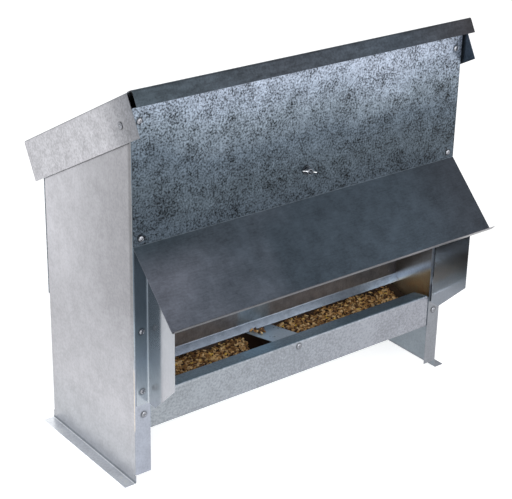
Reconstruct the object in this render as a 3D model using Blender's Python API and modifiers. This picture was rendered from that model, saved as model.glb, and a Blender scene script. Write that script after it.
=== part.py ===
"""Trough feeder for poultry, folded and riveted from thin galvanised sheet.

Two side panels on folded feet carry a hopper: a front panel, a back panel and a trough whose floor
rises to the back. A sloping lid hinges on two rivets near the front edge. Below the front panel a
visor and two wings shield the opening where the birds eat. A sliding plate behind the visor sets
how much feed runs out of the hopper, and one bolt with a wing nut clamps it.

Lengths are in metres. X runs along the trough, Y from front to back, Z up. The pieces are placed
from the outer front face of the side panels (Y = 0) and the floor (Z = 0), under one empty that
puts the origin below the middle of the whole feeder.
"""

from dataclasses import dataclass
from math import acos, atan2, cos, pi, radians, sin, sqrt, tan

import bmesh
import bpy
from mathutils import Matrix, Vector

# Sheet, folds and fits
SHEET = 0.0008
GAP = 0.0003
FOLD_RADIUS = 0.002
FOLD_STEPS = 4
RELIEF = 0.0015
EDGE_INSET = 0.0005

# Body
BODY_WIDTH = 0.500
BODY_DEPTH = 0.195
BODY_TOP = 0.479
FRONT_FLANGE = 0.022
REAR_FLANGE = 0.015
FOOT_FLANGE = 0.0155
FLANGE_BOTTOM = 0.0125

# Front panel and back panel
FRONT_PANEL_BOTTOM = 0.3182
FRONT_PANEL_TOP = 0.4825
BACK_PANEL_BOTTOM = 0.180
BACK_PANEL_LID_DROP = 0.002

# Visor and wings
VISOR_TUCK = 0.0498
VISOR_ANGLE = radians(45.5)
VISOR_SLOPE = 0.1097
VISOR_LIP = 0.0095
WING_INSET = 0.0190
WING_SPLAY = radians(3.2)
WING_BOTTOM = 0.1088
WING_REACH = 0.060
WING_CHAMFER = 0.044

# Trough
TROUGH_BOTTOM = 0.0715
TROUGH_FRONT_TOP = 0.1195
TROUGH_LIP_FALL = radians(11.3)
TROUGH_LIP = 0.0265
TROUGH_END_INSET = 0.0250
TROUGH_NECK = 0.006
TROUGH_FLAT = 0.090
TROUGH_SLOPE = radians(42.0)
TROUGH_UPSTAND = 0.045
STRAP_WIDTH = 0.041
STRAP_TAB = 0.013
STRAP_FOOT = 0.020

# Feed regulator
REGULATOR_MARGIN = 0.004
REGULATOR_TOP = 0.400
REGULATOR_BEND = 0.300
REGULATOR_SHOULDER = 0.290
REGULATOR_REACH = 0.0905
REGULATOR_KNEE = 0.150
REGULATOR_LIP = 0.0115
REGULATOR_LIP_ANGLE = radians(37.0)
REGULATOR_TRAVEL = 0.025
SLOT_WIDTH = 0.0060

# Lid, placed from its pivot
LID_SLOPE = radians(28.8)
PIVOT_Y = 0.0145
PIVOT_Z = 0.459
PIVOT_DROP = 0.0304
LID_FRONT_REACH = 0.0446
LID_REAR_REACH = 0.2378
LID_SIDE_CLEARANCE = 0.0029
LID_SKIRT = 0.0515
LID_SKIRT_SETBACK = 0.0125
LID_FRONT_FLANGE = 0.0200
LID_REAR_FLANGE = 0.020

# Rivets and the clamp bolt
RIVET_SHANK = 0.0016
RIVET_HEAD = 0.0034
RIVET_DOME = 0.0011
RIVET_TAIL = 0.0023
RIVET_TAIL_LENGTH = 0.0013
PIVOT_SHANK = 0.0021
PIVOT_HEAD = 0.0044
PIVOT_DOME = 0.0016
PIVOT_TAIL = 0.0031
TURNED_STEPS = 14
FRONT_RIVET_INSET = 0.0104
FRONT_RIVET_DROP = 0.0162
FRONT_RIVET_RISE = 0.0075
WING_RIVET_RISE = 0.0186
WING_RIVET_PITCH = 0.0798
LEG_RIVET_INSET = 0.0125
LEG_RIVET_DROP = 0.0247
STRAP_RIVET_DROP = 0.0070
STRAP_FOOT_RIVET = 0.011
BACK_RIVET_INSET = 0.0080
TROUGH_RIVET_DROP = 0.010
BACK_RIVET_DROP = 0.0137
BACK_RIVETS = 3
BOLT_RISE = 0.0366
BOLT_RADIUS = 0.0025
BOLT_END = 0.0110
BOLT_CHAMFER = 0.0005
BOLT_HEAD = 0.0050
BOLT_HEAD_HEIGHT = 0.0022
WASHER_RADIUS = 0.0062
WASHER_THICKNESS = 0.0010
NUT_BASE = 0.0050
NUT_TOP = 0.0041
NUT_HEIGHT = 0.0062
NUT_SPAN = 0.0240
NUT_WING_RISE = 0.0105
NUT_WING_THICKNESS = 0.0018
NUT_TIP = 0.0033
NUT_TIP_STEPS = 10
NUT_TURN = radians(17.0)

# Feed shown in the trough
FEED_FRONT = 0.0060
FEED_DROP = 0.0030
FEED_CLEARANCE = 0.0005

# Sizes that follow from the ones above
HALF_WIDTH = BODY_WIDTH / 2
OUTER_RADIUS = FOLD_RADIUS + SHEET
INNER_HALF = HALF_WIDTH - SHEET - GAP
BEHIND_FLANGE = SHEET + GAP
BOLT_HEIGHT = FRONT_PANEL_BOTTOM + BOLT_RISE
FRONT_PANEL_FACE = -2 * BEHIND_FLANGE
TROUGH_LIP_FOLD = pi / 2 + TROUGH_LIP_FALL
JOGGLE = acos(1 - BEHIND_FLANGE / (OUTER_RADIUS + FOLD_RADIUS))
FORWARD = Vector((0, -1, 0))
BODY_RIVET = (RIVET_SHANK, RIVET_HEAD, RIVET_DOME, RIVET_TAIL)
PIVOT_RIVET = (PIVOT_SHANK, PIVOT_HEAD, PIVOT_DOME, PIVOT_TAIL)
DRILL_OVERSHOOT = GAP / 2
COLLECTION = "poultry_feeder"
GALVANISED = ((0.56, 0.57, 0.59), 0.38, 0.9)
GALVANISED_DARK = ((0.26, 0.29, 0.32), 0.36, 0.9)
BRIGHT_STEEL = ((0.72, 0.72, 0.74), 0.22, 1.0)
GRAIN = ((0.42, 0.30, 0.14), 0.85, 0.0)


def lid_point(along, above):
    """The (Y, Z) of a point given along the lid from its pivot and square above that line."""
    return Vector(
        (
            PIVOT_Y + along * cos(LID_SLOPE) + above * sin(LID_SLOPE),
            PIVOT_Z - along * sin(LID_SLOPE) + above * cos(LID_SLOPE),
        )
    )


def height_under_lid(y, clearance):
    """Height at depth y of the line that lies a clearance below the lid's underside."""
    above = PIVOT_DROP - SHEET - clearance
    return PIVOT_Z + (above - (y - PIVOT_Y) * sin(LID_SLOPE)) / cos(LID_SLOPE)


def depth_under_lid(z, clearance):
    """Depth at height z of the line that lies a clearance below the lid's underside."""
    above = PIVOT_DROP - SHEET - clearance
    return PIVOT_Y + (above - (z - PIVOT_Z) * cos(LID_SLOPE)) / sin(LID_SLOPE)


def back_panel_top():
    """Height of the back panel's top edge, just under the lid."""
    return height_under_lid(BODY_DEPTH + BEHIND_FLANGE, BACK_PANEL_LID_DROP)


def trough_rear_top():
    """Height of the top edge of the trough's upstand."""
    rise = (BODY_DEPTH - BEHIND_FLANGE - TROUGH_FLAT) * tan(TROUGH_SLOPE)
    return TROUGH_BOTTOM + rise + TROUGH_UPSTAND


def front_extent():
    """Depth of the visor's outermost edge."""
    slope_end = -BEHIND_FLANGE - VISOR_SLOPE * sin(VISOR_ANGLE)
    return slope_end - VISOR_LIP * cos(VISOR_ANGLE) - SHEET * sin(VISOR_ANGLE)


def rear_extent():
    """Depth of the lid's outermost point, on the fold of its rear flange."""
    return lid_point(LID_REAR_REACH - OUTER_RADIUS, PIVOT_DROP - OUTER_RADIUS).x + OUTER_RADIUS


def visor_underside(y):
    """Height of the visor's underside at depth y."""
    return FRONT_PANEL_BOTTOM + (y + BEHIND_FLANGE) / tan(VISOR_ANGLE) - SHEET / sin(VISOR_ANGLE)


def meet(point, way, other_point, other_way):
    """Where two lines in the (Y, Z) plane meet."""
    between = other_point - point
    return point + way * (between.cross(other_way) / way.cross(other_way))


def strap_corner():
    """Where the strap's front face and top face would meet without their fold."""
    return Vector((BEHIND_FLANGE, TROUGH_FRONT_TOP - BEHIND_FLANGE * tan(TROUGH_LIP_FOLD / 2)))


def strap_height(y):
    """Height of the strap's top face at depth y."""
    corner = strap_corner()
    return corner.y - (y - corner.x) * tan(TROUGH_LIP_FALL)


def floor_line(lift):
    """A point and the way of the line that lies a lift above the outside of the sloping floor."""
    up = Vector((-sin(TROUGH_SLOPE), cos(TROUGH_SLOPE)))
    way = Vector((cos(TROUGH_SLOPE), sin(TROUGH_SLOPE)))
    return Vector((TROUGH_FLAT, TROUGH_BOTTOM)) + up * lift, way


def clear_scene():
    """Remove whatever the scene holds."""
    for obj in list(bpy.data.objects):
        bpy.data.objects.remove(obj, do_unlink=True)


@dataclass
class Brink:
    """An edge where a sheet can go on: its ends, the way ahead in the sheet, and its face's normal."""

    start: Vector
    end: Vector
    ahead: Vector
    normal: Vector


class Sheet:
    """One face of a piece of sheet metal, grown flat by flat and fold by fold in a bmesh."""

    def __init__(self):
        self.bm = bmesh.new()

    def flat(self, points):
        """Lay a flat face, its corners anticlockwise as seen from the side that the face points to."""
        self.bm.faces.new([self.bm.verts.new(point) for point in points])

    def brink(self, start, end, normal):
        """The brink along the edge that the last flat runs from start to end."""
        run = (Vector(end) - Vector(start)).normalized()
        return Brink(Vector(end), Vector(start), run.cross(Vector(normal)), Vector(normal))

    def fold(self, brink, angle):
        """Bend the sheet on, towards its face for a positive angle and away from it for a negative."""
        radius = FOLD_RADIUS if angle > 0 else -OUTER_RADIUS
        for _ in range(FOLD_STEPS):
            step = angle / FOLD_STEPS
            shift = brink.ahead * (radius * sin(step)) + brink.normal * (radius * (1 - cos(step)))
            start, end = brink.start + shift, brink.end + shift
            self.flat([brink.start, brink.end, end, start])
            ahead = brink.ahead * cos(step) + brink.normal * sin(step)
            normal = brink.normal * cos(step) - brink.ahead * sin(step)
            brink = Brink(start, end, ahead, normal)
        return brink

    def run(self, brink, length):
        """Go on flat, at the brink's full width, for a length."""
        shift = brink.ahead * length
        start, end = brink.start + shift, brink.end + shift
        self.flat([brink.start, brink.end, end, start])
        return Brink(start, end, brink.ahead, brink.normal)

    def shape(self, brink, outline, far=0):
        """Go on with a flat of any outline, given as (ahead, along) from the brink's start.

        The outline runs from the brink's end round to its start. Returns the brink on the edge that
        leaves the outline's point number far.
        """
        along = (brink.end - brink.start).normalized()
        points = [brink.start + brink.ahead * out + along * side for out, side in outline]
        self.flat([brink.start, brink.end, *points])
        return self.brink(points[far], points[far + 1], brink.normal)

    def mesh(self, name, mirrored):
        """The laid-out face as a mesh, mirrored in X where asked."""
        bmesh.ops.remove_doubles(self.bm, verts=self.bm.verts, dist=1e-6)
        if mirrored:
            bmesh.ops.scale(self.bm, vec=(-1, 1, 1), verts=self.bm.verts)
            bmesh.ops.reverse_faces(self.bm, faces=self.bm.faces)
        mesh = bpy.data.meshes.new(name)
        self.bm.to_mesh(mesh)
        self.bm.free()
        return mesh


class Feeder:
    """The collections, materials and cutters that the pieces share."""

    def __init__(self):
        scene = bpy.context.scene.collection
        self.parts = bpy.data.collections.new(COLLECTION)
        self.cutters = bpy.data.collections.new("cutters")
        self.drills = bpy.data.collections.new("drills")
        scene.children.link(self.parts)
        scene.children.link(self.cutters)
        self.cutters.children.link(self.drills)
        self.cutters.hide_render = True
        middle = (front_extent() + rear_extent()) / 2
        self.origin = bpy.data.objects.new("feeder_origin", None)
        self.origin.location = (0, -middle, 0)
        self.parts.objects.link(self.origin)

    def add(self, name, mesh, finish, at=(0, 0, 0), turn=(0, 0, 0)):
        """Make a piece from a mesh, with its own material, under the feeder's origin."""
        colour, roughness, metallic = finish
        material = bpy.data.materials.new(name)
        material.use_nodes = True
        shader = material.node_tree.nodes["Principled BSDF"]
        shader.inputs["Base Color"].default_value = (*colour, 1)
        shader.inputs["Roughness"].default_value = roughness
        shader.inputs["Metallic"].default_value = metallic
        obj = bpy.data.objects.new(name, mesh)
        obj.location = at
        obj.rotation_euler = turn
        obj.parent = self.origin
        mesh.materials.append(material)
        self.parts.objects.link(obj)
        return obj

    def add_sheet(self, name, sheet, finish, mirrored=False, drilled=True, at=(0, 0, 0), turn=(0, 0, 0)):
        """Give a laid-out sheet its thickness behind its face, and drill the shared holes through it."""
        obj = self.add(name, sheet.mesh(name, mirrored), finish, at, turn)
        thickness = obj.modifiers.new("Thickness", "SOLIDIFY")
        thickness.thickness = SHEET
        thickness.offset = -1
        thickness.use_even_offset = True
        if drilled:
            holes = obj.modifiers.new("Holes", "BOOLEAN")
            holes.operation = "DIFFERENCE"
            holes.operand_type = "COLLECTION"
            holes.collection = self.drills
        obj.data.shade_smooth()
        obj.data.set_sharp_from_angle(angle=radians(35))
        return obj

    def cut(self, obj, cutter):
        """Take a cutter's shape out of a piece."""
        modifier = obj.modifiers.new("Cut " + cutter.name, "BOOLEAN")
        modifier.operation = "DIFFERENCE"
        modifier.object = cutter

    def add_cutter(self, name, mesh, collection, at, turn=(0, 0, 0)):
        """Make a hidden cutter."""
        obj = bpy.data.objects.new(name, mesh)
        obj.location = at
        obj.rotation_euler = turn
        obj.parent = self.origin
        obj.hide_render = True
        obj.display_type = "WIRE"
        collection.objects.link(obj)
        return obj

    def drill(self, name, face, outward, depth, radius):
        """A drill through a stack of sheets, from its face inwards, just past both sides."""
        bm = bmesh.new()
        length = depth + 2 * DRILL_OVERSHOOT
        bmesh.ops.create_cone(
            bm,
            cap_ends=True,
            segments=TURNED_STEPS,
            radius1=radius,
            radius2=radius,
            depth=length,
        )
        mesh = bpy.data.meshes.new(name)
        bm.to_mesh(mesh)
        bm.free()
        outward = Vector(outward)
        centre = Vector(face) - outward * (depth / 2)
        turn = outward.to_track_quat("Z", "Y").to_euler()
        self.add_cutter(name, mesh, self.drills, centre, turn)

    def block(self, name, low, high):
        """A box-shaped cutter between two corners."""
        low, high = Vector(low), Vector(high)
        bm = bmesh.new()
        bmesh.ops.create_cube(bm, size=1)
        bmesh.ops.scale(bm, vec=high - low, verts=bm.verts)
        mesh = bpy.data.meshes.new(name)
        bm.to_mesh(mesh)
        bm.free()
        return self.add_cutter(name, mesh, self.cutters, (low + high) / 2)

    def turned(self, name, profile, finish, face, outward):
        """Turn a profile of (radius, height) points about the outward line through a point."""
        bm = bmesh.new()
        rings = [bm.verts.new((radius, 0, height)) for radius, height in profile]
        for upper, lower in zip(rings, rings[1:]):
            bm.edges.new((upper, lower))
        mesh = bpy.data.meshes.new(name)
        bm.to_mesh(mesh)
        bm.free()
        turn = Vector(outward).to_track_quat("Z", "Y").to_euler()
        obj = self.add(name, mesh, finish, face, turn)
        screw = obj.modifiers.new("Turn", "SCREW")
        screw.axis = "Z"
        screw.steps = TURNED_STEPS
        screw.render_steps = TURNED_STEPS
        screw.use_merge_vertices = True
        screw.merge_threshold = 1e-6
        screw.use_smooth_shade = True
        return obj

    def rivet(self, name, face, outward, grip, sizes=BODY_RIVET):
        """A blind rivet through a stack of sheets, and the hole that it needs in them."""
        shank, head, dome, tail = sizes
        self.drill("drill_" + name, face, outward, grip, shank + GAP)
        profile = dome_profile(head, GAP, dome)
        profile.append((shank, GAP))
        profile.append((shank, -grip - GAP))
        profile.append((tail, -grip - GAP))
        profile.append((tail, -grip - GAP - RIVET_TAIL_LENGTH / 2))
        profile.append((shank, -grip - GAP - RIVET_TAIL_LENGTH))
        profile.append((0, -grip - GAP - RIVET_TAIL_LENGTH))
        self.turned(name, profile, BRIGHT_STEEL, face, outward)


def dome_profile(radius, base, rise):
    """Points of a low dome from its top on the axis down to its rim."""
    sphere = (radius * radius + rise * rise) / (2 * rise)
    steps = 4
    points = []
    for step in range(steps):
        out = radius * step / steps
        points.append((out, base + rise - sphere + sqrt(sphere * sphere - out * out)))
    points.append((radius, base + rise * 0.12))
    points.append((radius, base))
    return points


def side_panel(feeder, name, mirrored):
    """A side wall with its front and rear flanges folded in and its foot folded out."""
    outward = Vector((1, 0, 0))
    rear = BODY_DEPTH - OUTER_RADIUS
    rear_top = height_under_lid(BODY_DEPTH, GAP) - RELIEF
    foot_top = SHEET + FOLD_RADIUS
    relief_bottom = FLANGE_BOTTOM - RELIEF
    outline = [
        (EDGE_INSET, foot_top),
        (BODY_DEPTH - EDGE_INSET, foot_top),
        (BODY_DEPTH - EDGE_INSET, relief_bottom),
        (rear, relief_bottom),
        (rear, FLANGE_BOTTOM),
        (rear, rear_top),
        (rear, height_under_lid(rear, GAP)),
        (depth_under_lid(BODY_TOP, GAP), BODY_TOP),
        (OUTER_RADIUS, BODY_TOP),
        (OUTER_RADIUS, FLANGE_BOTTOM),
        (OUTER_RADIUS, relief_bottom),
        (EDGE_INSET, relief_bottom),
    ]
    corners = [Vector((HALF_WIDTH, y, z)) for y, z in outline]
    sheet = Sheet()
    sheet.flat(corners)
    foot = sheet.fold(sheet.brink(corners[0], corners[1], outward), pi / 2)
    sheet.run(foot, FOOT_FLANGE - FOLD_RADIUS)
    back = sheet.fold(sheet.brink(corners[4], corners[5], outward), -pi / 2)
    sheet.run(back, REAR_FLANGE - OUTER_RADIUS)
    front = sheet.fold(sheet.brink(corners[8], corners[9], outward), -pi / 2)
    sheet.run(front, FRONT_FLANGE - OUTER_RADIUS)
    feeder.add_sheet(name, sheet, GALVANISED, mirrored)


def flat_panel(feeder, name, face, bottom, top, facing):
    """A plain upright panel whose face looks to the front (facing -1) or to the back (facing 1)."""
    near = facing * (HALF_WIDTH - GAP)
    corners = [(near, bottom), (-near, bottom), (-near, top), (near, top)]
    sheet = Sheet()
    sheet.flat([Vector((x, face, z)) for x, z in corners])
    feeder.add_sheet(name, sheet, GALVANISED)


def visor(feeder):
    """The hood over the feeding opening: a tuck behind the front panel, a slope and a turned-up lip."""
    face = -BEHIND_FLANGE
    setback = FOLD_RADIUS * tan(VISOR_ANGLE / 2)
    corners = [
        Vector((-HALF_WIDTH, face, FRONT_PANEL_BOTTOM + setback)),
        Vector((HALF_WIDTH, face, FRONT_PANEL_BOTTOM + setback)),
        Vector((HALF_WIDTH, face, FRONT_PANEL_BOTTOM + VISOR_TUCK)),
        Vector((-HALF_WIDTH, face, FRONT_PANEL_BOTTOM + VISOR_TUCK)),
    ]
    sheet = Sheet()
    sheet.flat(corners)
    slope = sheet.fold(sheet.brink(corners[0], corners[1], FORWARD), VISOR_ANGLE)
    edge = sheet.run(slope, VISOR_SLOPE - setback - FOLD_RADIUS)
    lip = sheet.fold(edge, pi / 2)
    sheet.run(lip, VISOR_LIP - FOLD_RADIUS)
    feeder.add_sheet("visor", sheet, GALVANISED_DARK)


def wing(feeder, name, mirrored):
    """A cheek beside the feeding opening: a riveted flange and a plate that reaches forward."""
    face = -BEHIND_FLANGE
    fold_end = face - FOLD_RADIUS * (1 + sin(WING_SPLAY))
    top = visor_underside(fold_end) - GAP
    inner = HALF_WIDTH - WING_INSET + FOLD_RADIUS
    corners = [
        Vector((inner, face, WING_BOTTOM)),
        Vector((HALF_WIDTH - FOLD_RADIUS, face, WING_BOTTOM)),
        Vector((HALF_WIDTH - FOLD_RADIUS, face, top)),
        Vector((inner, face, top)),
    ]
    sheet = Sheet()
    sheet.flat(corners)
    edge = sheet.fold(sheet.brink(corners[3], corners[0], FORWARD), pi / 2 + WING_SPLAY)
    reach = (WING_REACH + edge.start.y) / cos(WING_SPLAY)
    front_top = visor_underside(-WING_REACH) - GAP - WING_BOTTOM
    sheet.shape(edge, [(reach, front_top), (reach, WING_CHAMFER), (reach - WING_CHAMFER, 0)])
    feeder.add_sheet(name, sheet, GALVANISED, mirrored)


def trough_pan(feeder):
    """The trough: a front wall with a lip, a flat bottom, a floor that rises to the back, an upstand."""
    half = HALF_WIDTH - TROUGH_END_INSET
    low, high = TROUGH_BOTTOM + OUTER_RADIUS, TROUGH_FRONT_TOP - OUTER_RADIUS * tan(TROUGH_LIP_FOLD / 2)
    outline = [(-half, low), (half, low), (half, high), (-half, high)]
    corners = [Vector((x, 0, z)) for x, z in outline]
    sheet = Sheet()
    sheet.flat(corners)
    lip = sheet.fold(sheet.brink(corners[2], corners[3], FORWARD), -TROUGH_LIP_FOLD)
    sheet.run(lip, TROUGH_LIP - OUTER_RADIUS * tan(TROUGH_LIP_FOLD / 2))
    for start, end in ((1, 2), (3, 0)):
        joggle = sheet.fold(sheet.brink(corners[start], corners[end], FORWARD), -JOGGLE)
        ear = sheet.fold(joggle, JOGGLE)
        sheet.run(ear, INNER_HALF - FOLD_RADIUS - abs(ear.start.x))
    bottom = sheet.fold(sheet.brink(corners[0], corners[1], FORWARD), -pi / 2)
    extra, wide = INNER_HALF - half, INNER_HALF + half
    flat_length = TROUGH_FLAT - OUTER_RADIUS * (1 + tan(TROUGH_SLOPE / 2))
    outline = [(RELIEF, wide), (flat_length, wide), (flat_length, -extra), (RELIEF, -extra)]
    slope = sheet.fold(sheet.shape(bottom, outline, 1), -TROUGH_SLOPE)
    upturn = pi / 2 - TROUGH_SLOPE
    rise = (BODY_DEPTH - BEHIND_FLANGE - TROUGH_FLAT) / cos(TROUGH_SLOPE)
    length = rise - OUTER_RADIUS * (tan(TROUGH_SLOPE / 2) + tan(upturn / 2))
    full = 2 * INNER_HALF
    neck = length - TROUGH_NECK
    outline = [(neck, full), (length, full - FOLD_RADIUS), (length, FOLD_RADIUS), (neck, 0)]
    upstand = sheet.fold(sheet.shape(slope, outline, 1), -upturn)
    sheet.run(upstand, TROUGH_UPSTAND - OUTER_RADIUS * tan(upturn / 2))
    feeder.add_sheet("trough_pan", sheet, GALVANISED)


def trough_strap(feeder):
    """The strap from the middle of the trough's front wall to its floor, and its foot rivet."""
    corner = strap_corner()
    setback = OUTER_RADIUS * tan(TROUGH_LIP_FOLD / 2)
    half = STRAP_WIDTH / 2
    corners = [
        Vector((-half, corner.x, corner.y - STRAP_TAB)),
        Vector((half, corner.x, corner.y - STRAP_TAB)),
        Vector((half, corner.x, corner.y - setback)),
        Vector((-half, corner.x, corner.y - setback)),
    ]
    sheet = Sheet()
    sheet.flat(corners)
    top = sheet.fold(sheet.brink(corners[2], corners[3], FORWARD), -TROUGH_LIP_FOLD)
    way = Vector((cos(TROUGH_LIP_FALL), -sin(TROUGH_LIP_FALL)))
    foot_point, foot_way = floor_line(2 * SHEET + GAP)
    foot_corner = meet(corner, way, foot_point, foot_way)
    upturn = TROUGH_LIP_FALL + TROUGH_SLOPE
    foot_setback = FOLD_RADIUS * tan(upturn / 2)
    end = sheet.run(top, (foot_corner - corner).length - setback - foot_setback)
    foot = sheet.fold(end, upturn)
    sheet.run(foot, STRAP_FOOT - foot_setback)
    feeder.add_sheet("trough_strap", sheet, GALVANISED)
    place = foot_corner + foot_way * STRAP_FOOT_RIVET
    outward = (0, -sin(TROUGH_SLOPE), cos(TROUGH_SLOPE))
    feeder.rivet("strap_foot_rivet", (0, place.x, place.y), outward, 2 * SHEET + GAP)


def feed_regulator(feeder):
    """The sliding plate that closes the hopper's throat: a slotted tongue, a slope, a wall and a lip."""
    narrow = HALF_WIDTH - FRONT_FLANGE - REGULATOR_MARGIN
    slant = atan2(REGULATOR_REACH, REGULATOR_BEND - REGULATOR_KNEE)
    setback = OUTER_RADIUS * tan(slant / 2)
    knee_setback = FOLD_RADIUS * tan(slant / 2)
    corners = [
        Vector((-narrow, 0, REGULATOR_BEND + setback)),
        Vector((narrow, 0, REGULATOR_BEND + setback)),
        Vector((narrow, 0, REGULATOR_TOP)),
        Vector((-narrow, 0, REGULATOR_TOP)),
    ]
    sheet = Sheet()
    sheet.flat(corners)
    slope = sheet.fold(sheet.brink(corners[0], corners[1], FORWARD), -slant)
    extra, wide = INNER_HALF - narrow, INNER_HALF + narrow
    shoulder = (REGULATOR_BEND - REGULATOR_SHOULDER) / cos(slant) - setback
    length = (REGULATOR_BEND - REGULATOR_KNEE) / cos(slant) - setback - knee_setback
    outline = [(shoulder, 2 * narrow), (shoulder, wide), (length, wide), (length, -extra)]
    outline += [(shoulder, -extra), (shoulder, 0)]
    wall = sheet.fold(sheet.shape(slope, outline, 2), slant)
    lip_setback = FOLD_RADIUS * tan(REGULATOR_LIP_ANGLE / 2)
    tip = REGULATOR_REACH - REGULATOR_LIP * sin(REGULATOR_LIP_ANGLE)
    tip_height = strap_height(tip) + GAP + SHEET * sin(REGULATOR_LIP_ANGLE)
    wall_bottom = tip_height + REGULATOR_LIP * cos(REGULATOR_LIP_ANGLE)
    edge = sheet.run(wall, REGULATOR_KNEE - wall_bottom - knee_setback - lip_setback)
    sheet.run(sheet.fold(edge, REGULATOR_LIP_ANGLE), REGULATOR_LIP - lip_setback)
    obj = feeder.add_sheet("feed_regulator", sheet, GALVANISED, drilled=False)
    low = (-SLOT_WIDTH / 2, -SHEET, BOLT_HEIGHT - REGULATOR_TRAVEL - SLOT_WIDTH / 2)
    high = (SLOT_WIDTH / 2, 2 * SHEET, BOLT_HEIGHT + SLOT_WIDTH / 2)
    feeder.cut(obj, feeder.block("slot_cutter", low, high))


def lid(feeder):
    """The sloping lid, laid out flat about its pivot: a plate, two deep skirts and two flanges."""
    half = HALF_WIDTH + LID_SIDE_CLEARANCE + SHEET
    fold_x = half - OUTER_RADIUS
    front = OUTER_RADIUS - LID_FRONT_REACH
    rear = LID_REAR_REACH - OUTER_RADIUS
    skirt_front = LID_SKIRT_SETBACK - LID_FRONT_REACH
    snip = fold_x - RELIEF
    right = [
        (half, front),
        (half, skirt_front - RELIEF),
        (fold_x, skirt_front - RELIEF),
        (fold_x, skirt_front),
        (fold_x, rear - RELIEF),
        (snip, rear - RELIEF),
        (snip, rear),
    ]
    left = [(-x, y) for x, y in reversed(right)]
    corners = [Vector((x, y, PIVOT_DROP)) for x, y in right + left]
    sheet = Sheet()
    sheet.flat(corners)
    up = Vector((0, 0, 1))
    last = len(corners) - 1
    flange = sheet.fold(sheet.brink(corners[last], corners[0], up), -pi / 2)
    sheet.run(flange, LID_FRONT_FLANGE - OUTER_RADIUS)
    flange = sheet.fold(sheet.brink(corners[len(right) - 1], corners[len(right)], up), -pi / 2)
    sheet.run(flange, LID_REAR_FLANGE - OUTER_RADIUS)
    for start, end in ((3, 4), (last - 4, last - 3)):
        skirt = sheet.fold(sheet.brink(corners[start], corners[end], up), -pi / 2)
        sheet.run(skirt, LID_SKIRT - OUTER_RADIUS)
    feeder.add_sheet("lid", sheet, GALVANISED, at=(0, PIVOT_Y, PIVOT_Z), turn=(-LID_SLOPE, 0, 0))


def rivets(feeder):
    """Every rivet of the body, with the hole that it needs, and the two that the lid turns on."""
    stack = 2 * SHEET + GAP
    front_levels = {
        "upper": FRONT_PANEL_TOP - FRONT_RIVET_DROP,
        "lower": FRONT_PANEL_BOTTOM + FRONT_RIVET_RISE,
    }
    wing_low = WING_BOTTOM + WING_RIVET_RISE
    wing_levels = {"upper": wing_low + WING_RIVET_PITCH, "lower": wing_low}
    back_low = trough_rear_top() - TROUGH_RIVET_DROP
    back_pitch = (back_panel_top() - BACK_RIVET_DROP - back_low) / (BACK_RIVETS - 1)
    for side, x_sign in (("left", -1), ("right", 1)):
        x = x_sign * (HALF_WIDTH - FRONT_RIVET_INSET)
        for level, z in front_levels.items():
            name = f"front_panel_rivet_{side}_{level}"
            feeder.rivet(name, (x, FRONT_PANEL_FACE, z), FORWARD, SHEET - FRONT_PANEL_FACE)
        for level, z in wing_levels.items():
            feeder.rivet(f"wing_rivet_{side}_{level}", (x, -BEHIND_FLANGE, z), FORWARD, stack)
        leg_x = x_sign * (HALF_WIDTH - LEG_RIVET_INSET)
        feeder.rivet(f"leg_rivet_{side}", (leg_x, 0, TROUGH_FRONT_TOP - LEG_RIVET_DROP), FORWARD, stack)
        back_x = x_sign * (HALF_WIDTH - BACK_RIVET_INSET)
        for index in range(BACK_RIVETS):
            place = (back_x, BODY_DEPTH + BEHIND_FLANGE, back_low + index * back_pitch)
            grip = stack if index else stack + BEHIND_FLANGE
            feeder.rivet(f"back_rivet_{side}_{index + 1}", place, (0, 1, 0), grip)
        outer = x_sign * (HALF_WIDTH + LID_SIDE_CLEARANCE + SHEET)
        grip = LID_SIDE_CLEARANCE + 2 * SHEET
        place = (outer, PIVOT_Y, PIVOT_Z)
        feeder.rivet(f"lid_pivot_rivet_{side}", place, (x_sign, 0, 0), grip, PIVOT_RIVET)
    place = (0, 0, TROUGH_FRONT_TOP - STRAP_RIVET_DROP)
    feeder.rivet("strap_front_rivet", place, FORWARD, stack)


def clamp(feeder):
    """The bolt that clamps the regulator, with its washer and wing nut."""
    face = (0, FRONT_PANEL_FACE, BOLT_HEIGHT)
    feeder.drill("drill_bolt", face, FORWARD, 2 * SHEET + GAP, BOLT_RADIUS + GAP)
    seat = FRONT_PANEL_FACE - SHEET - GAP
    profile = [(0, BOLT_END), (BOLT_RADIUS - BOLT_CHAMFER, BOLT_END)]
    profile += [(BOLT_RADIUS, BOLT_END - BOLT_CHAMFER), (BOLT_RADIUS, seat), (BOLT_HEAD, seat)]
    profile += [(BOLT_HEAD, seat - BOLT_HEAD_HEIGHT / 2), (BOLT_HEAD * 0.7, seat - BOLT_HEAD_HEIGHT)]
    profile += [(0, seat - BOLT_HEAD_HEIGHT)]
    feeder.turned("regulator_bolt", profile, BRIGHT_STEEL, face, FORWARD)
    bore = BOLT_RADIUS + GAP
    washer_top = GAP + WASHER_THICKNESS
    ring = [(WASHER_RADIUS, washer_top), (WASHER_RADIUS, GAP), (bore, GAP), (bore, washer_top)]
    feeder.turned("regulator_washer", ring + ring[:1], BRIGHT_STEEL, face, FORWARD)
    wing_nut(feeder, face, bore, washer_top + GAP)


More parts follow.
